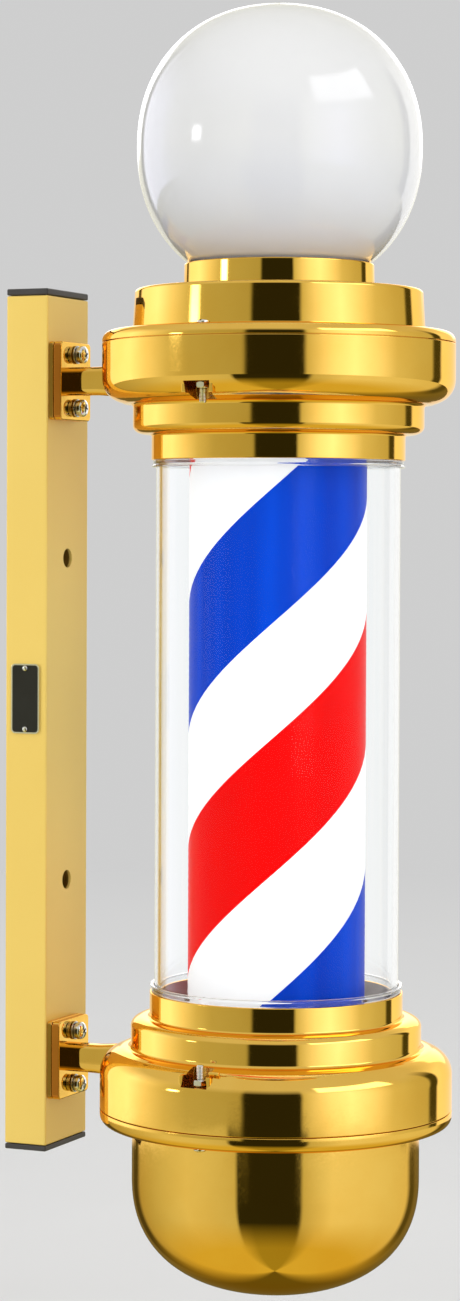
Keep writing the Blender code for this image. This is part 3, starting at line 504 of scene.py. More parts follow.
def caps():
    inset = Vector((1.8 * MM, 1.8 * MM, 0))
    for node, thick in (("rail_top_cap", 3.5 * MM), ("rail_bottom_cap", 3 * MM)):
        low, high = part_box(node)
        shift = Vector((0, 0, thick / 2))
        if high.z > 0:
            plate = ((low.x, low.y, high.z - thick), high)
            plug = (low + inset, high - inset - shift)
        else:
            plate = (low, (high.x, high.y, low.z + thick))
            plug = (low + inset + shift, high - inset)
        piece = block(node + "_fine", *plate, 0.8 * MM)
        combine(piece, [block("plug", *plug, 0.6 * MM, 2)], "UNION")
        place(piece, BODY, "black_plastic", CAP, node)


def badge():
    low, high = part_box("badge_plate")
    thick, rim, corner = high.x - low.x, 0.75 * MM, 1.8 * MM

    def plate(name, shrink, out_low, out_high, corner):
        """A layer of the badge between two distances from its back."""
        edge = Vector((0, shrink, shrink))
        first = Vector((high.x - out_high, low.y, low.z)) + edge
        last = Vector((high.x - out_low, high.y, high.z)) - edge
        shape = cube(first, last)
        along = [e for e in shape.edges if span(e, 0) > (out_high - out_low) / 2]
        soften(shape, along, corner, 8)
        halfway = (first.x + last.x) / 2
        soften(shape, [e for e in shape.edges if max(v.co.x for v in e.verts) < halfway], 0.15 * MM, 2)
        return add(name, finish_mesh(shape, name))

    def holes():
        places = [centre(f"badge_rivet_{end}") for end in ("top", "bottom")]
        bore = (20, 1.1 * MM, -3 * MM, 3 * MM)
        middle = (low.x + high.x) / 2
        return [prism("hole", *bore, (middle, at.y, at.z), (0, pi / 2, 0)) for at in places]

    border = plate("badge_border", 0, 0, thick, 2.4 * MM)
    combine(border, [plate("well", rim, thick - 0.45 * MM, thick + 2 * MM, corner)])
    for end in ("top", "bottom"):
        head = centre(f"badge_rivet_{end}")
        head.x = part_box(f"badge_rivet_{end}")[0].x
        tall, shank = 0.7 * MM, 0.9 * MM
        section = [(0, 0), *superellipse((0, -tall), (1.5 * MM, tall), 2, 88, 0, 9), (shank, -tall)]
        section += [(shank, -tall - 3 * MM), (0, -tall - 3 * MM)]
        piece = turned(f"badge_rivet_{end}_fine", section, 32, False, head, (0, -pi / 2, 0))
        place(piece, BODY, "chrome", CHROME, f"badge_rivet_{end}")
    combine(border, holes())
    field = plate("badge_field", rim, thick - 0.44 * MM, thick - 0.2 * MM, corner)
    combine(field, holes())
    place(border, BODY, "badge_black", SILVER, "badge_plate")
    place(field, BODY, "badge_black", BADGE)


# ------------------------------------------------------------------ brackets
def rounded_plate(name, low, high, corner, edge):
    """A plate in the XZ plane with round corners and softened edges."""
    shape = cube(low, high)
    soften(shape, [e for e in shape.edges if span(e, 1) > (high.y - low.y) / 2], corner, 8)
    soften(shape, [e for e in shape.edges if span(e, 1) < FLAT_EDGE], edge, 3)
    return add(name, finish_mesh(shape, name))


def bolt_cutters(side, sides=32, low=0.0, high=60 * MM):
    bolts_at = [centre(f"{side}_bracket_{end}_bolt") for end in ("top", "bottom")]
    return [prism("bolt_hole", sides, BOLT_HOLE_R, low, high, (at.x, 0, at.z), OUT) for at in bolts_at]


def arm_bar(name, start, length, half_width, half_height, flare):
    """The arm: rings of a soft rectangle from the flange to the housing, flaring at the far end."""
    shape = bmesh.new()
    stations, around, power = 28, 64, 4.2
    rows = []
    for i in range(stations):
        t = i / (stations - 1)
        swell = max(0.0, (t - 0.45) / 0.55)
        grow = 1 + flare * swell * swell * (3 - 2 * swell)
        size = (half_width * (1 + (grow - 1) * 0.6), half_height * grow)
        points = superellipse((start.x, start.z), size, power, 0, 360, around + 1)[:-1]
        rows.append([shape.verts.new((x, start.y - t * length, z)) for x, z in points])
    skin(shape, rows)
    return add(name, finish_mesh(shape, name, 40))


def paint_shade_on_sides(piece, material, front):
    """Paints the cut sides of a plate, behind its front, in a darker gold: painted shade."""
    piece.data.materials.append(material)
    for each in piece.data.polygons:
        if abs(each.normal.x) > 0.8 and each.center.y > front + 0.3 * MM:
            each.material_index = 1


def brackets():
    for side in ("upper", "lower"):
        low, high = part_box(f"{side}_bracket_back_plate")
        piece = rounded_plate(f"{side}_bracket_back_plate_fine", low, high, 2.2 * MM, 0.5 * MM)
        combine(piece, bolt_cutters(side))
        place(piece, BODY, "gold_plated_steel", GOLD_STEEL, f"{side}_bracket_back_plate")
        # the back plate's cut sides in a dark gold: painted shade
        paint_shade_on_sides(piece, GOLD_PAINTED_SHADE, low.y)
        back = low.y - 0.3 * MM
        face = back - 4.5 * MM
        low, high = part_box(f"{side}_bracket_arm")
        level = (low.z + high.z) / 2
        at = Vector((POLE.x, 0, level))
        plate = (Vector((low.x, face, low.z)), Vector((high.x, back, high.z)))
        piece = rounded_plate(f"{side}_bracket_arm_fine", *plate, 2.6 * MM, 0.6 * MM)
        start = at + Vector((0, face + 2 * MM, 0))
        reach = start.y - (POLE.y + BULGE_R) + 5 * MM
        bar = arm_bar("bar", start, reach, 5.5 * MM, ARM_HALF_HEIGHT, 0.16)
        around = POLE + Vector((0, 0, level))
        combine(bar, [prism("shell_face", 256, BULGE_R + 0.3 * MM, -30 * MM, 30 * MM, around)])
        combine(piece, [bar], "UNION")
        stud = prism("stud", 32, 4 * MM, -(POLE.y + BULGE_R) - 5 * MM, -low.y, at, OUT, 0.6 * MM)
        combine(piece, [stud], "UNION")
        screw = centre(f"{side}_arm_set_screw")
        toward = -1 if side == "upper" else 1
        mouth = (screw.x, screw.y, level + toward * ARM_HALF_HEIGHT)
        hole = prism("set_hole", 32, 2.4 * MM, -6 * MM, 6 * MM, mouth)
        combine(piece, bolt_cutters(side) + [hole], angle=38)
        place(piece, BODY, "gold_plated_steel", GOLD_STEEL, f"{side}_bracket_arm")
        # the arm plate's cut sides in a dark orange gold: painted shade
        paint_shade_on_sides(piece, GOLD_PAINTED_EDGE_SHADE, face)
        half = 2 * MM
        grub = prism(f"{side}_arm_set_screw_fine", 32, 2.1 * MM, -half, half, screw, bevel=0.3 * MM)
        socket = screw + Vector((0, 0, toward * half))
        combine(grub, [prism("socket", 6, 1.1 * MM, -half, half, socket)])
        place(grub, BODY, "zinc_steel", ZINC, f"{side}_arm_set_screw")


def split_ring(name, inner, outer, thick, rise):
    """A spring washer: a square-section ring, cut once, whose ends stand a little apart."""
    shape = bmesh.new()
    gap, sides, edge = radians(12), 72, 0.15 * MM
    rows = []
    corners = outline([(outer, thick, edge), (outer, 0, edge), (inner, 0, edge), (inner, thick, edge)])
    for k in range(sides + 1):
        turn = gap / 2 + (2 * pi - gap) * k / sides
        lift = rise * (k / sides - 0.5)
        rows.append([shape.verts.new((r * cos(turn), r * sin(turn), z + lift)) for r, z in corners])
    skin(shape, rows)
    return finish_mesh(shape, name)


def bolts():
    head_r, shank, head, rise = 4.75 * MM, 2.5 * MM, 3.4 * MM, 2.4 * MM
    dome = superellipse((0, head - rise), (head_r, rise), 2.6, 90, 0, 14)
    for side in ("upper", "lower"):
        for end in ("top", "bottom"):
            node = f"{side}_bracket_{end}"
            low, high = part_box(f"{node}_bolt")
            x, z = (low.x + high.x) / 2, (low.z + high.z) / 2
            tip = head - (high.y - low.y)
            under = [(head_r, 0, 0.3 * MM), (shank, 0, 0.1 * MM), (shank, tip, 0.4 * MM), (0, tip, 0)]
            section = [(0, head), *dome[1:], *outline(under, closed=False)]
            bolt = turned(f"{node}_bolt_fine", section, 64, False, Vector((x, low.y + head, z)), OUT)
            turn = radians(25 if end == "top" else 70)
            cross = ((-2.3 * MM, -0.5 * MM, 0), (2.3 * MM, 0.5 * MM, 5 * MM), 0.15 * MM, 2)
            bottom = (x, low.y + 1.7 * MM, z)
            arms = [block("recess", *cross, bottom, facing_out(turn + quarter)) for quarter in (0, pi / 2)]
            combine(bolt, arms)
            place(bolt, BODY, "chrome", CHROME, f"{node}_bolt")
            low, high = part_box(f"{node}_flat_washer")
            rim, thick, edge = 5 * MM, high.y - low.y, 0.3 * MM
            ring = [(BOLT_HOLE_R, 0, edge / 2), (rim, 0, edge), (rim, thick, edge)]
            ring = outline([*ring, (BOLT_HOLE_R, thick, edge / 2)])
            washer = turned(f"{node}_flat_washer_fine", ring, 64, True, Vector((x, high.y, z)), OUT)
            place(washer, BODY, "zinc_steel", ZINC, f"{node}_flat_washer")
            low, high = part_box(f"{node}_spring_washer")
            mesh = split_ring("spring", BOLT_HOLE_R, 4.3 * MM, high.y - low.y, 0.3 * MM)
            spring = add(f"{node}_spring_washer_fine", mesh, (x, high.y, z), facing_out(turn))
            place(spring, BODY, "zinc_steel", ZINC, f"{node}_spring_washer")


# ------------------------------------------------------------------ housings and covers
def housing_section(rim, seam, floor):
    """From the rim over the step and the bulge to the seam, and back inside to the tube's seat."""
    step_top = superellipse((STEP_R - 7 * MM, 159.5 * MM), (7 * MM, 4.6 * MM), 2.1, -90, 0, 9)
    shoulder = superellipse((78 * MM, 185 * MM), (BULGE_R - 78 * MM, 14 * MM), 2.2, -90, 0, 22)
    neck = [(COLLAR_R, rim, 0), (COLLAR_R, step_top[0][1], 1.8 * MM), (*step_top[0], 0)]
    neck = outline(neck, closed=False)
    level = shoulder[0][1]
    waist = outline([(STEP_R, 160 * MM, 0), (STEP_R, level, 2.6 * MM), (82 * MM, level, 0)], closed=False)
    shoulder = [p for p in shoulder if p[0] > 82.2 * MM]
    wide = BULGE_R - SHELL
    seat = floor + 2.5 * MM
    inside = [
        (wide, seam, 0),
        (wide, 187 * MM, 3 * MM),
        (87.5 * MM, 176.8 * MM, 3 * MM),
        (STEP_R - SHELL, 173.5 * MM, 1 * MM),
        (STEP_R - SHELL, 160 * MM, 2 * MM),
        (66.5 * MM, 157 * MM, 1 * MM),
        (66.5 * MM, seat, 0.3 * MM),
        (DRUM_HOLE_R, seat, 0.8 * MM),
        (DRUM_HOLE_R, floor, 0.8 * MM),
        (SEAT_R, floor, 0.3 * MM),
        (SEAT_R, rim, 0.3 * MM),
        (COLLAR_R, rim, BEAD),
        (COLLAR_R, rim + 5 * MM, 0),
    ]
    inner = outline(inside, closed=False)[:-1]
    edge = outline([(BULGE_R, 186 * MM, 0), (BULGE_R, seam, BEAD), (wide, seam, 0)], closed=False)
    return neck[1:] + step_top[1:] + waist[1:] + shoulder + edge[1:-1] + inner


def flipped(section, side):
    return [(radius, side * height) for radius, height in section]


def cover_screw_place(node):
    """Where a cover screw stands, and its angle round the pole."""
    at = centre(node) * Vector((1, 1, 0))
    return at, atan2(at.y - POLE.y, at.x - POLE.x)


POCKET_TAPER = 0.72  # width of a pocket's mouth over the width of its floor


def tapered_block(name, low, high, side, grow):
    """A box whose end towards the tube has another width, so that the pocket's sides lean."""
    shape = cube(low, high)
    for vert in shape.verts:
        if (vert.co.z - (low[2] + high[2]) / 2) * side < 0:
            vert.co.y *= grow
    soften(shape, [e for e in shape.edges if span(e, 2) > (high[2] - low[2]) / 2], 0.8 * MM, 4)
    return finish_mesh(shape, name)


def in_pocket(point, turns):
    """Is a point of a housing on a wall or the floor of a pocket? The turns say where the pockets are."""
    depth = (abs(point.z) - POCKET_TOP) / (POCKET_FLOOR - POCKET_TOP)
    half = POCKET_WIDTH / 2 * (POCKET_TAPER + (1 - POCKET_TAPER) * depth) + 0.1 * MM
    for turn in turns:
        across = Matrix.Rotation(-turn, 3, "Z") @ (point - POLE)
        if 0 < depth < 1.01 and across.x > 80 * MM and abs(across.y) < half:
            return True
    return False


def housings():
    for end, side in (("upper", 1), ("lower", -1)):
        name = f"{end}_housing"
        low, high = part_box(name)
        rim, seam = sorted((abs(low.z), abs(high.z)))
        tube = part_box("clear_tube")[1].z
        piece = turned(f"{name}_fine", flipped(housing_section(rim, seam, tube + 0.3 * MM), side))
        bosses, cutters, turns = [], [], []
        wide = POCKET_WIDTH / 2
        for hand in ("left", "right"):
            at, turn = cover_screw_place(f"{end}_cover_{hand}_screw")
            spin = (0, 0, turn)
            turns.append(turn)
            z = sorted((side * 174 * MM, side * (seam - 4.6 * MM)))
            corners = ((79 * MM, -wide - 1.6 * MM, z[0]), (92.2 * MM, wide + 1.6 * MM, z[1]))
            bosses.append(block("boss", *corners, 0.6 * MM, 2, POLE, spin))
            z = sorted((side * POCKET_TOP, side * POCKET_FLOOR))
            corners = ((80.6 * MM, -wide, z[0]), (100 * MM, wide, z[1]))
            cutters.append(add("pocket", tapered_block("pocket", *corners, side, POCKET_TAPER), POLE, spin))
            z = sorted((side * 168 * MM, side * 208 * MM))
            cutters.append(prism("screw_hole", 24, SCREW_HOLE_R, *z, at))
            if side < 0:
                middle = POLE + Matrix.Rotation(turn, 3, "Z") @ Vector((88 * MM, 9.3 * MM, -172.6 * MM))
                half = 2.8 * MM
                bosses.append(prism("rib", 32, 1.1 * MM, -half, half, middle, (pi / 2, 0, turn), 0.3 * MM))
        level = centre(f"{end}_bracket_arm").z
        cutters.append(prism("stud_hole", 32, 4.3 * MM, 50 * MM, 75 * MM, (POLE.x, 0, level), OUT))
        combine(piece, bosses, "UNION")
        combine(piece, cutters)
        flatten(piece)
        settle(piece)
        for each in (GOLD, RECESS_WITH_PAINTED_LIGHT, POCKET_GOLD_PAINTED_SHADE):
            piece.data.materials.append(each)
        for face in piece.data.polygons:
            offset = (face.center - POLE).xy.length
            # faces inside the tube's seat take the pale colour, partly painted light
            hidden = abs(face.center.z) < SEAT_DEPTH and offset < SEAT_R + 0.02 * MM
            # pocket faces take the darker gold of painted shade
            face.material_index = 1 if hidden else 2 if in_pocket(face.center, turns) else 0
        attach(piece, BODY)
        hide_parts(name)


def lip(ledge):
    """A cover's lip: the inside of it, its skirt, and the outside up to its ledge."""
    skirt = BULGE_R - 2.8 * MM
    inner = skirt - 2 * MM
    rolled = superellipse((BULGE_R - 6.5 * MM, ledge - 5.8 * MM), (6.5 * MM, 5.8 * MM), 2.2, 0, 90, 12)
    outside = [
        (skirt, SKIRT_END, 0.4 * MM),
        (skirt, COVER_SEAM, 0),
        (BULGE_R, COVER_SEAM, BEAD),
        (*rolled[0], 0),
    ]
    inside = [
        (LIP_R, ledge - LEDGE_WALL, 0),
        (inner, ledge - 2.6 * MM, 1.5 * MM),
        (inner, SKIRT_END, 0.4 * MM),
        (skirt, SKIRT_END, 0),
    ]
    return outline(inside, closed=False)[:-1] + outline(outside, closed=False)[:-1] + rolled


def cover_screw_holes(end, side, ledge):
    made = []
    for hand in ("left", "right"):
        at = cover_screw_place(f"{end}_cover_{hand}_screw")[0]
        z = sorted((side * 202 * MM, side * (ledge + 5 * MM)))
        made.append(prism("screw_hole", 24, SCREW_HOLE_R, *z, at))
    return made


def top_cover():
    ledge, top = 209.8 * MM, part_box("top_cover")[1].z
    shelf, wide = 231.7 * MM, 77.8 * MM
    lean = 1.3 * MM
    outside = [
        (LIP_R, ledge, 0),
        (wide, ledge, 1.0 * MM),
        (wide - lean, shelf, 2.0 * MM),
        (NECK_R + 0.3 * MM, shelf, 1.2 * MM),
        (NECK_R, top, 0.9 * MM),
        (NECK_R - SHELL, top, 0.5 * MM),
        (NECK_R - SHELL, shelf, 0.3 * MM),
        (GLOBE_SEAT_R, shelf, 0.5 * MM),
        (GLOBE_SEAT_R, shelf - SHELL, 0.5 * MM),
        (wide - lean - SHELL, shelf - SHELL, 0.5 * MM),
        (wide - SHELL, ledge - LEDGE_WALL, 0.5 * MM),
        (LIP_R, ledge - LEDGE_WALL, 0),
    ]
    piece = turned("top_cover_fine", lip(ledge) + outline(outside, closed=False)[1:-1])
    combine(piece, cover_screw_holes("upper", 1, ledge))
    place(piece, BODY, "gold_plated_plastic", GOLD, "top_cover")


def bottom_dome():
    ledge, wide = 212 * MM, 76.7 * MM
    depth = -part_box("bottom_dome")[0].z - DOME_STRAIGHT
    bowl = superellipse((0, DOME_STRAIGHT), (wide, depth), DOME_POWER, 0, 90, 56)
    inner, under = wide - SHELL, ledge - LEDGE_WALL
    hollow = superellipse((0, DOME_STRAIGHT), (inner, depth - SHELL), DOME_POWER, 90, 0, 24)
    start = outline([(LIP_R, ledge, 0), (wide, ledge, 1.2 * MM), (wide, DOME_STRAIGHT, 0)], closed=False)
    end = outline([(inner, DOME_STRAIGHT, 0), (inner, under, 0.5 * MM), (LIP_R, under, 0)], closed=False)
    section = [(0, depth + DOME_STRAIGHT - SHELL), *hollow[1:], *end[1:-1], *lip(ledge)]
    section += [*start[1:-1], *bowl[:-1], (0, depth + DOME_STRAIGHT)]
    piece = turned("bottom_dome_fine", flipped(section, -1), closed=False)
    at = (POLE.x, POLE.y, centre("cable_grommet").z)
    hole = prism("grommet_hole", 48, 6 * MM, -95 * MM, -60 * MM, at, OUT)
    combine(piece, cover_screw_holes("lower", -1, ledge) + [hole])
    place(piece, BODY, "gold_plated_plastic", GOLD, "bottom_dome")


def grommet():
    low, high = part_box("cable_grommet")
    at = Vector(((low.x + high.x) / 2, low.y, (low.z + high.z) / 2))
    deep = high.y - low.y
    lip_r, neck, bore = 8 * MM, 5.6 * MM, 3.5 * MM
    edge = 1.6 * MM
    section = outline(
        [
            (lip_r, 0, 0.7 * MM),
            (bore, 0, 0.5 * MM),
            (bore, deep, 0.5 * MM),
            (lip_r, deep, 0.7 * MM),
            (lip_r, deep - edge, 0.6 * MM),
            (neck, deep - edge, 0.2 * MM),
            (neck, edge, 0.2 * MM),
            (lip_r, edge, 0.6 * MM),
        ]
    )
    piece = turned("cable_grommet_fine", section, 64, True, at, (-pi / 2, 0, 0))
    place(piece, BODY, "rubber", RUBBER, "cable_grommet")


def thread_section(radius, low, high, pitch, depth):
    """The side of a threaded shank as close rings, from low to high."""
    points = []
    turns = int((high - low) / pitch)
    for k in range(turns):
        base = low + k * pitch
        points += [(radius - depth, base), (radius, base + pitch * 0.4), (radius, base + pitch * 0.55)]
    return points + [(radius - depth, low + turns * pitch)]


def cover_screws():
    shank, head = 2 * MM, 1.5 * MM
    chamfer = [(0, MM), (3.2 * MM, 0.2 * MM), (4.2 * MM, -0.8 * MM)]
    for end, side in (("upper", 1), ("lower", -1)):
        for hand in ("left", "right"):
            node = f"{end}_cover_{hand}_screw"
            low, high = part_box(node)
            near, far = sorted((abs(low.z), abs(high.z)))
            at, turn = cover_screw_place(node)
            base = far - COVER_HEAD
            top = base + head
            cap = superellipse((0, base), (3.4 * MM, head), 2.4, 90, 0, 10)
            thread = thread_section(shank, near + 0.4 * MM, near + 14 * MM, 0.7 * MM, 0.22 * MM)
            section = [(0, top), *cap[1:], (shank, base), (shank, near + 14.6 * MM)]
            section += [*reversed(thread), (1.4 * MM, near), (0, near)]
            screw = turned(f"{node}_fine", flipped(section, side), 48, False, at)
            z = sorted((side * (top - 0.9 * MM), side * (top + 2 * MM)))
            slot = ((-5 * MM, -0.45 * MM, z[0]), (5 * MM, 0.45 * MM, z[1]))
            combine(screw, [block("slot", *slot, at=at, rotation=(0, 0, turn))])
            place(screw, BODY, "chrome", CHROME, node)
            node = f"{end}_cover_{hand}_nut"
            low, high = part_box(node)
            nut = prism(f"{node}_fine", 6, 4.05 * MM, low.z, high.z, at)
            section = [(r, low.z - out) for r, out in chamfer]
            section += [(r, high.z + out) for r, out in reversed(chamfer)]
            combine(nut, [turned("chamfer", section, 64, False, at)], "INTERSECT")
            combine(nut, [prism("bore", 32, SCREW_HOLE_R, low.z - MM, high.z + MM, at)])
            place(nut, BODY, "chrome", CHROME, node)


# ------------------------------------------------------------------ globe, tube and drum
def globe():
    low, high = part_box("globe")
    radius = (high.x - low.x) / 2
    middle = high.z - radius
    wall, edge = 2.5 * MM, -51
    outer = superellipse((0, middle), (radius, radius), GLOBE_POWER, 90, edge, 84)
    inner = superellipse((0, middle), (radius - wall, radius - wall), GLOBE_POWER, edge, 90, 60)
    neck, shoulder = 47.2 * MM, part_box("top_cover")[1].z + 0.5 * MM
    lip_section = [
        (*outer[-1], 0),
        (neck, shoulder, 0.8 * MM),
        (neck, low.z, 0.8 * MM),
        (neck - wall, low.z, 0.8 * MM),
        (neck - wall, shoulder, 1.5 * MM),
        (*inner[0], 0),
    ]
    section = [(0, high.z), *outer[1:-1], *outline(lip_section, closed=False)]
    section += [*inner[1:-1], (0, high.z - wall)]
    piece = turned("globe_fine", section, closed=False, angle=50)
    place(piece, BODY, "opal", OPAL, "globe", flat=False)


def tube():
    low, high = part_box("clear_tube")
    outer, inner = 65 * MM, 62 * MM
    corners = [(outer, high.z), (outer, low.z), (inner, low.z), (inner, high.z)]
    piece = turned("clear_tube_fine", outline([(*corner, BEAD) for corner in corners]), 256, angle=50)
    place(piece, BODY, "clear_acrylic", TUBE, "clear_tube")


def seals():
    for end, side in (("upper", 1), ("lower", -1)):
        low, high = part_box(f"{end}_tube_seal")
        near, far = sorted((abs(low.z), abs(high.z)))
        inner, outer = 65.25 * MM, 67.4 * MM
        corners = [
            (outer, near, 0.25 * MM),
            (outer, near + 0.7 * MM, 0.25 * MM),
            (outer - 1.1 * MM, near + 1.5 * MM, 0.4 * MM),
            (outer - 0.7 * MM, far, 0.3 * MM),
            (inner, far, 0.2 * MM),
            (inner, near, 0.4 * MM),
        ]
        piece = turned(f"{end}_tube_seal_fine", flipped(outline(corners), side), 256)
        place(piece, BODY, "clear_acrylic", SEAL, f"{end}_tube_seal")


CAMERA_AZIMUTH = -67.2
FRONT = radians(CAMERA_AZIMUTH - 90)  # direction of the camera round the pole, from +X
# top of each band on the drum's front line: blue, white, red, white; the bands fill one lead
BANDS = (
    (128.8 * MM, 70.4 * MM, 1),
    (58.4 * MM, 59.8 * MM, 0),
    (-1.4 * MM, 71.0 * MM, 2),
    (-72.4 * MM, 64.8 * MM, 0),
)


def drum():
    """The drum's film: columns of faces follow the stripes, so each stripe's edge is an edge of the mesh."""
    low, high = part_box("drum_shell")
    outer, wall = (high.x - low.x) / 2, 1.5 * MM
    columns = []
    for top, tall, look in BANDS:
        steps = max(4, round(tall / (4.2 * MM)))
        columns += [(top - tall * k / steps, look) for k in range(steps)]
    rows = 80
    shape = bmesh.new()

    def ring(radius, z):
        made = []
        for level, _ in columns:
            angle = FRONT + 2 * pi * (z - level) / STRIPE_LEAD
            made.append(shape.verts.new((radius * cos(angle), radius * sin(angle), z)))
        return made

    levels = [low.z + (high.z - low.z) * k / rows for k in range(rows + 1)]
    outside = [ring(outer, z) for z in levels]
    inside = [ring(outer - wall, z) for z in levels]
    count = len(columns)

    def fill(first, second, plain=False):
        for k in range(count):
            face = shape.faces.new((first[k], first[(k + 1) % count], second[(k + 1) % count], second[k]))
            face.material_index = 0 if plain else columns[k][1]

    for k in range(rows):
        fill(outside[k], outside[k + 1])
        fill(inside[k + 1], inside[k], plain=True)
    fill(inside[0], outside[0], plain=True)
    fill(outside[-1], inside[-1], plain=True)
    bmesh.ops.recalc_face_normals(shape, faces=shape.faces)
    mesh = finish_mesh(shape, "drum_film", 60)
    for look in (WHITE_FILM, BLUE_FILM, RED_FILM):
        mesh.materials.append(look)
    piece = add("drum_film", mesh, POLE)
    settle(piece)
    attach(piece, DRUM)
    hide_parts("drum_shell")


def inner_nodes():
    """The CAD nodes that stay: each takes the finish of its material slot."""
    looks = {
        "zinc_steel": ZINC,
        "white_plastic": WHITE,
        "aluminium": ALUMINIUM,
        "led_board": BOARD,
        "chrome": CHROME,
        "rubber": RUBBER,
    }
    for row in frame["record"]["subparts"]:
        node = frame["nodes"][row["node"]]
        if node.hide_render or row["material_slot"] not in looks:
            continue
        node.data.materials.clear()
        node.data.materials.append(looks[row["material_slot"]])


# ------------------------------------------------------------------ studio
LENS_DISTANCE = 1740 * MM
CAMERA_HEIGHT = 104.4 * MM
IMAGE_HEIGHT = 1301
FOCAL_PIXELS = 3268
AIM_YAW = 0.838
AIM_PITCH = 1.313
AIM_ROLL = 0.234
PRINCIPAL_SHIFT = -0.0352


def camera():
    back = Vector((sin(radians(CAMERA_AZIMUTH)), -cos(radians(CAMERA_AZIMUTH)), 0))
    data = bpy.data.cameras.new("camera")
    data.sensor_width = 36
    data.lens = 36 * FOCAL_PIXELS / IMAGE_HEIGHT
    data.shift_y = PRINCIPAL_SHIFT
    data.clip_start = 0.01
    made = bpy.data.objects.new("camera", data)
    place_at = POLE + back * LENS_DISTANCE + Vector((0, 0, CAMERA_HEIGHT))
    yaw = radians(CAMERA_AZIMUTH + AIM_YAW)
    turn = Matrix.Rotation(yaw, 4, "Z") @ Matrix.Rotation(pi / 2 - radians(AIM_PITCH), 4, "X")
    made.matrix_world = Matrix.Translation(place_at) @ turn @ Matrix.Rotation(radians(AIM_ROLL), 4, "Z")
    bpy.context.scene.collection.objects.link(made)
    bpy.context.scene.camera = made


BACKDROP = 0.62


def floor():
    """A pale floor that fades into the backdrop, seen directly and by soft light only."""
    below = CAD_BOX[0][2] - 0.12
    mesh = bpy.data.meshes.new("floor")
    shape = bmesh.new()
    bmesh.ops.create_circle(shape, cap_ends=True, segments=96, radius=14)
    shape.to_mesh(mesh)
    shape.free()
    look = Look("studio_floor", Roughness=0.8)
    look.colour(look.tones(look.noise(3, 3), (0.74, 0.74, 0.74), (0.72, 0.72, 0.72)))
    nodes = look.tree.nodes
    far = nodes.new("ShaderNodeEmission")
    far.inputs["Color"].default_value = (BACKDROP, BACKDROP, BACKDROP, 1)
    away = nodes.new("ShaderNodeVectorMath")
    away.operation = "LENGTH"
    look.link(look.coords, away.inputs[0])
    fade = look.levels(away.outputs["Value"], 0.7, 3.2, 0, 1)
    both = nodes.new("ShaderNodeMixShader")
    look.link(fade, both.inputs[0])
    look.link(look.shader.outputs[0], both.inputs[1])
    look.link(far.outputs[0], both.inputs[2])
    look.link(both.outputs[0], nodes["Material Output"].inputs["Surface"])
    mesh.materials.append(look.material)
    made = add("floor", mesh, (0, 0, below))
    made.visible_glossy = False
    made.visible_transmission = False


# brightness of the studio round the pole as its reflections see it: (degrees from the camera, level)
LEVEL_BANDS = (
    (-180, 0.8), (-160, 0.95), (-152, 0.8), (-149, 0.1), (-144, 0.1), (-141, 1.5), (-112, 1.6),
    (-96, 1.15), (-77, 0.74), (-60, 0.55), (-23, 0.48), (-20.5, 0.025), (15.5, 0.025), (18, 0.7),
    (36, 1.35), (50, 1.6), (65, 1.25), (82, 0.8), (104, 0.66), (117, 0.62), (120, 0.07), (128, 0.07),
    (131, 1.2), (160, 1.2), (180, 0.85),
)
LOW_BANDS = (
    (-180, 0.16), (-160, 0.2), (-156, 0.08), (-146, 0.08), (-138, 0.5), (-119, 0.57), (-95, 0.7), (-75, 0.81),
    (-58, 0.77), (-42, 0.7), (-32, 0.66), (-29.5, 0.028), (19.5, 0.028), (22, 0.62), (46, 0.92), (79, 0.88),
    (118, 0.8), (130, 0.8), (138, 0.1), (145, 0.1), (152, 0.2), (180, 0.16),
)
# heights of a direction, as its Z, between which one part of the studio takes over from another
LOW_BANDS_FROM = (-0.1842, -0.1866)
FLOOR_FROM = (-0.42, -0.80)
CEILING_FROM = (0.30, 0.62)
CEILING = (0.72, 0.70, 0.60)
# the floor in reflections: under the camera, beside it and behind the pole, with the degrees between
FLOOR_COLOURS = ((0.39, 0.32, 0.05), (0.72, 0.59, 0.15), (0.15, 0.12, 0.02))
FLOOR_TURNS = ((18, 36), (125, 165))
PANEL_FADE = 1.5
# soft panels: degrees from the camera, degrees up, half their width and height in degrees, and level
PANELS = ((58, 34.5, 29, 9.5, 2.8), (-70, 7.5, 4, 2.5, 9.0), (-165, 15, 14, 9, 2.4), (168, 15, 12, 9, 2.4))


def tinted(level):
    """Bright panels are whiter than dim ones, which are warm."""
    return (level, level * (0.94 + 0.04 * level), level * (0.28 + 0.55 * level))


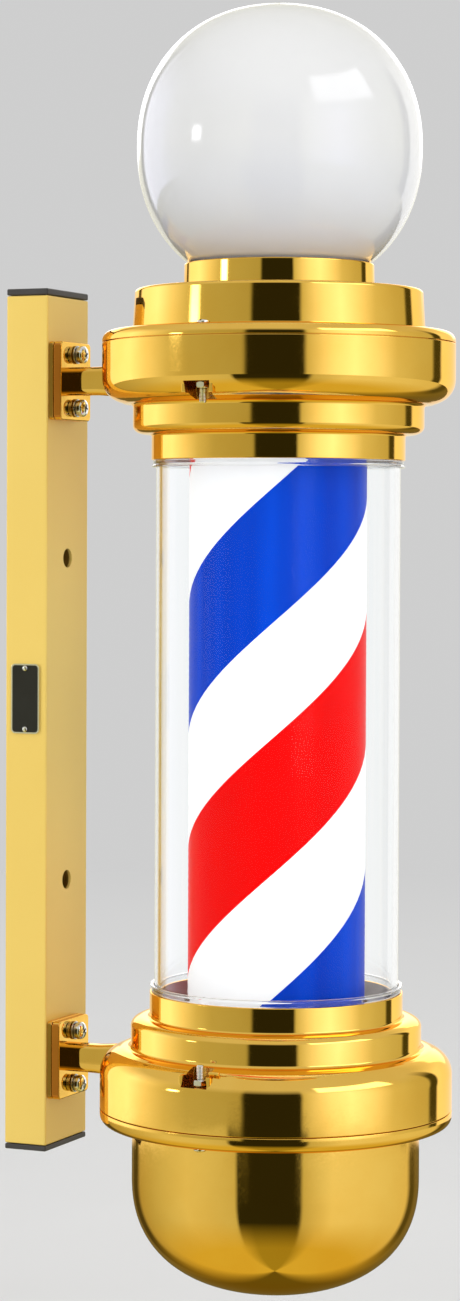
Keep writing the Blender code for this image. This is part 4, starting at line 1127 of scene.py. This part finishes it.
def studio_light():
    """Tall soft panels all round with dark gaps between them, seen only in reflections; the rest is even."""
    world = bpy.data.worlds.new("studio")
    bpy.context.scene.world = world
    world.use_nodes = True
    tree = world.node_tree
    nodes, links = tree.nodes, tree.links
    nodes.clear()

    def node(kind, operation=None, values=(), sources=()):
        made = nodes.new(kind)
        if operation:
            made.operation = operation
        for socket, value in values:
            made.inputs[socket].default_value = value
        for socket, source in sources:
            links.new(source, made.inputs[socket])
        return made

    def maths(operation, *sources, values=()):
        return node("ShaderNodeMath", operation, values, tuple(enumerate(sources))).outputs[0]

    def ramp(source, bands):
        made = node("ShaderNodeValToRGB", None, (), ((0, source),))
        stops = made.color_ramp.elements
        while len(stops) < len(bands):
            stops.new(0.5)
        for stop, (degrees, level) in zip(stops, bands):
            stop.position = (degrees + 180) / 360
            stop.color = (*tinted(level), 1)
        return made.outputs[0]

    def between(source, low, high):
        values = ((1, low), (2, high), (3, 0.0), (4, 1.0))
        return node("ShaderNodeMapRange", None, values, ((0, source),)).outputs[0]

    def mix(factor, first, second):
        made = nodes.new("ShaderNodeMix")
        made.data_type = "RGBA"
        links.new(factor, made.inputs[0])
        for socket, colour in ((6, first), (7, second)):
            if isinstance(colour, tuple):
                made.inputs[socket].default_value = (*colour, 1)
            else:
                links.new(colour, made.inputs[socket])
        return made.outputs[2]

    coords = nodes.new("ShaderNodeTexCoord")
    facing = (("Rotation", (0, 0, -FRONT)),)
    turn = node("ShaderNodeMapping", None, facing, ((0, coords.outputs["Generated"]),))
    parts = node("ShaderNodeSeparateXYZ", None, (), ((0, turn.outputs["Vector"]),))
    angle = maths("ARCTAN2", parts.outputs["Y"], parts.outputs["X"])
    share = between(angle, -pi, pi)
    up = parts.outputs["Z"]
    colour = mix(between(up, *LOW_BANDS_FROM), ramp(share, LEVEL_BANDS), ramp(share, LOW_BANDS))
    aside = maths("ABSOLUTE", angle)
    below = FLOOR_COLOURS[0]
    for (first, last), after in zip(FLOOR_TURNS, FLOOR_COLOURS[1:]):
        below = mix(between(aside, radians(first), radians(last)), below, after)
    colour = mix(between(up, *FLOOR_FROM), colour, below)
    colour = mix(between(up, *CEILING_FROM), colour, CEILING)
    rise = maths("ARCSINE", up)
    for across, above, half_width, half_height, level in PANELS:
        inside = []
        for source, middle, half in ((angle, across, half_width), (rise, above, half_height)):
            away = maths("ABSOLUTE", maths("SUBTRACT", source, values=((1, radians(middle)),)))
            inside.append(between(away, radians(half + PANEL_FADE), radians(half - PANEL_FADE)))
        colour = mix(maths("MULTIPLY", *inside), colour, (level, level, level))
    surround = node("ShaderNodeBackground", None, (), ((0, colour),))
    path = nodes.new("ShaderNodeLightPath")

    def plain(level):
        return node("ShaderNodeBackground", None, ((0, (level, level, level, 1)),)).outputs[0]

    def choose(factor, first, second):
        return node("ShaderNodeMixShader", None, (), ((0, factor), (1, first), (2, second))).outputs[0]

    seen = choose(path.outputs["Is Diffuse Ray"], surround.outputs[0], plain(0.85))
    seen = choose(path.outputs["Is Transmission Ray"], seen, plain(0.95))
    seen = choose(path.outputs["Is Camera Ray"], seen, plain(BACKDROP))
    node("ShaderNodeOutputWorld", None, (), ((0, seen),))


def key_light(name, azimuth, height, distance, size, power):
    data = bpy.data.lights.new(name, "AREA")
    data.shape = "RECTANGLE"
    data.size, data.size_y = size
    data.energy = power
    made = bpy.data.objects.new(name, data)
    turn = radians(CAMERA_AZIMUTH + azimuth)
    made.location = POLE + Vector((sin(turn), -cos(turn), 0)) * distance + Vector((0, 0, height))
    aim = POLE - made.location
    made.rotation_euler = aim.to_track_quat("-Z", "Y").to_euler()
    made.visible_camera = False
    made.visible_glossy = False
    bpy.context.scene.collection.objects.link(made)


camera()
rail()
caps()
badge()
brackets()
bolts()
housings()
top_cover()
bottom_dome()
grommet()
cover_screws()
globe()
tube()
seals()
drum()
inner_nodes()
floor()
studio_light()
key_light("key", 24, 0.5, 1.9, (0.8, 1.4), 11)
key_light("fill", -60, 0.5, 2.2, (1.2, 1.4), 6)
bpy.context.scene.view_settings.view_transform = "Standard"
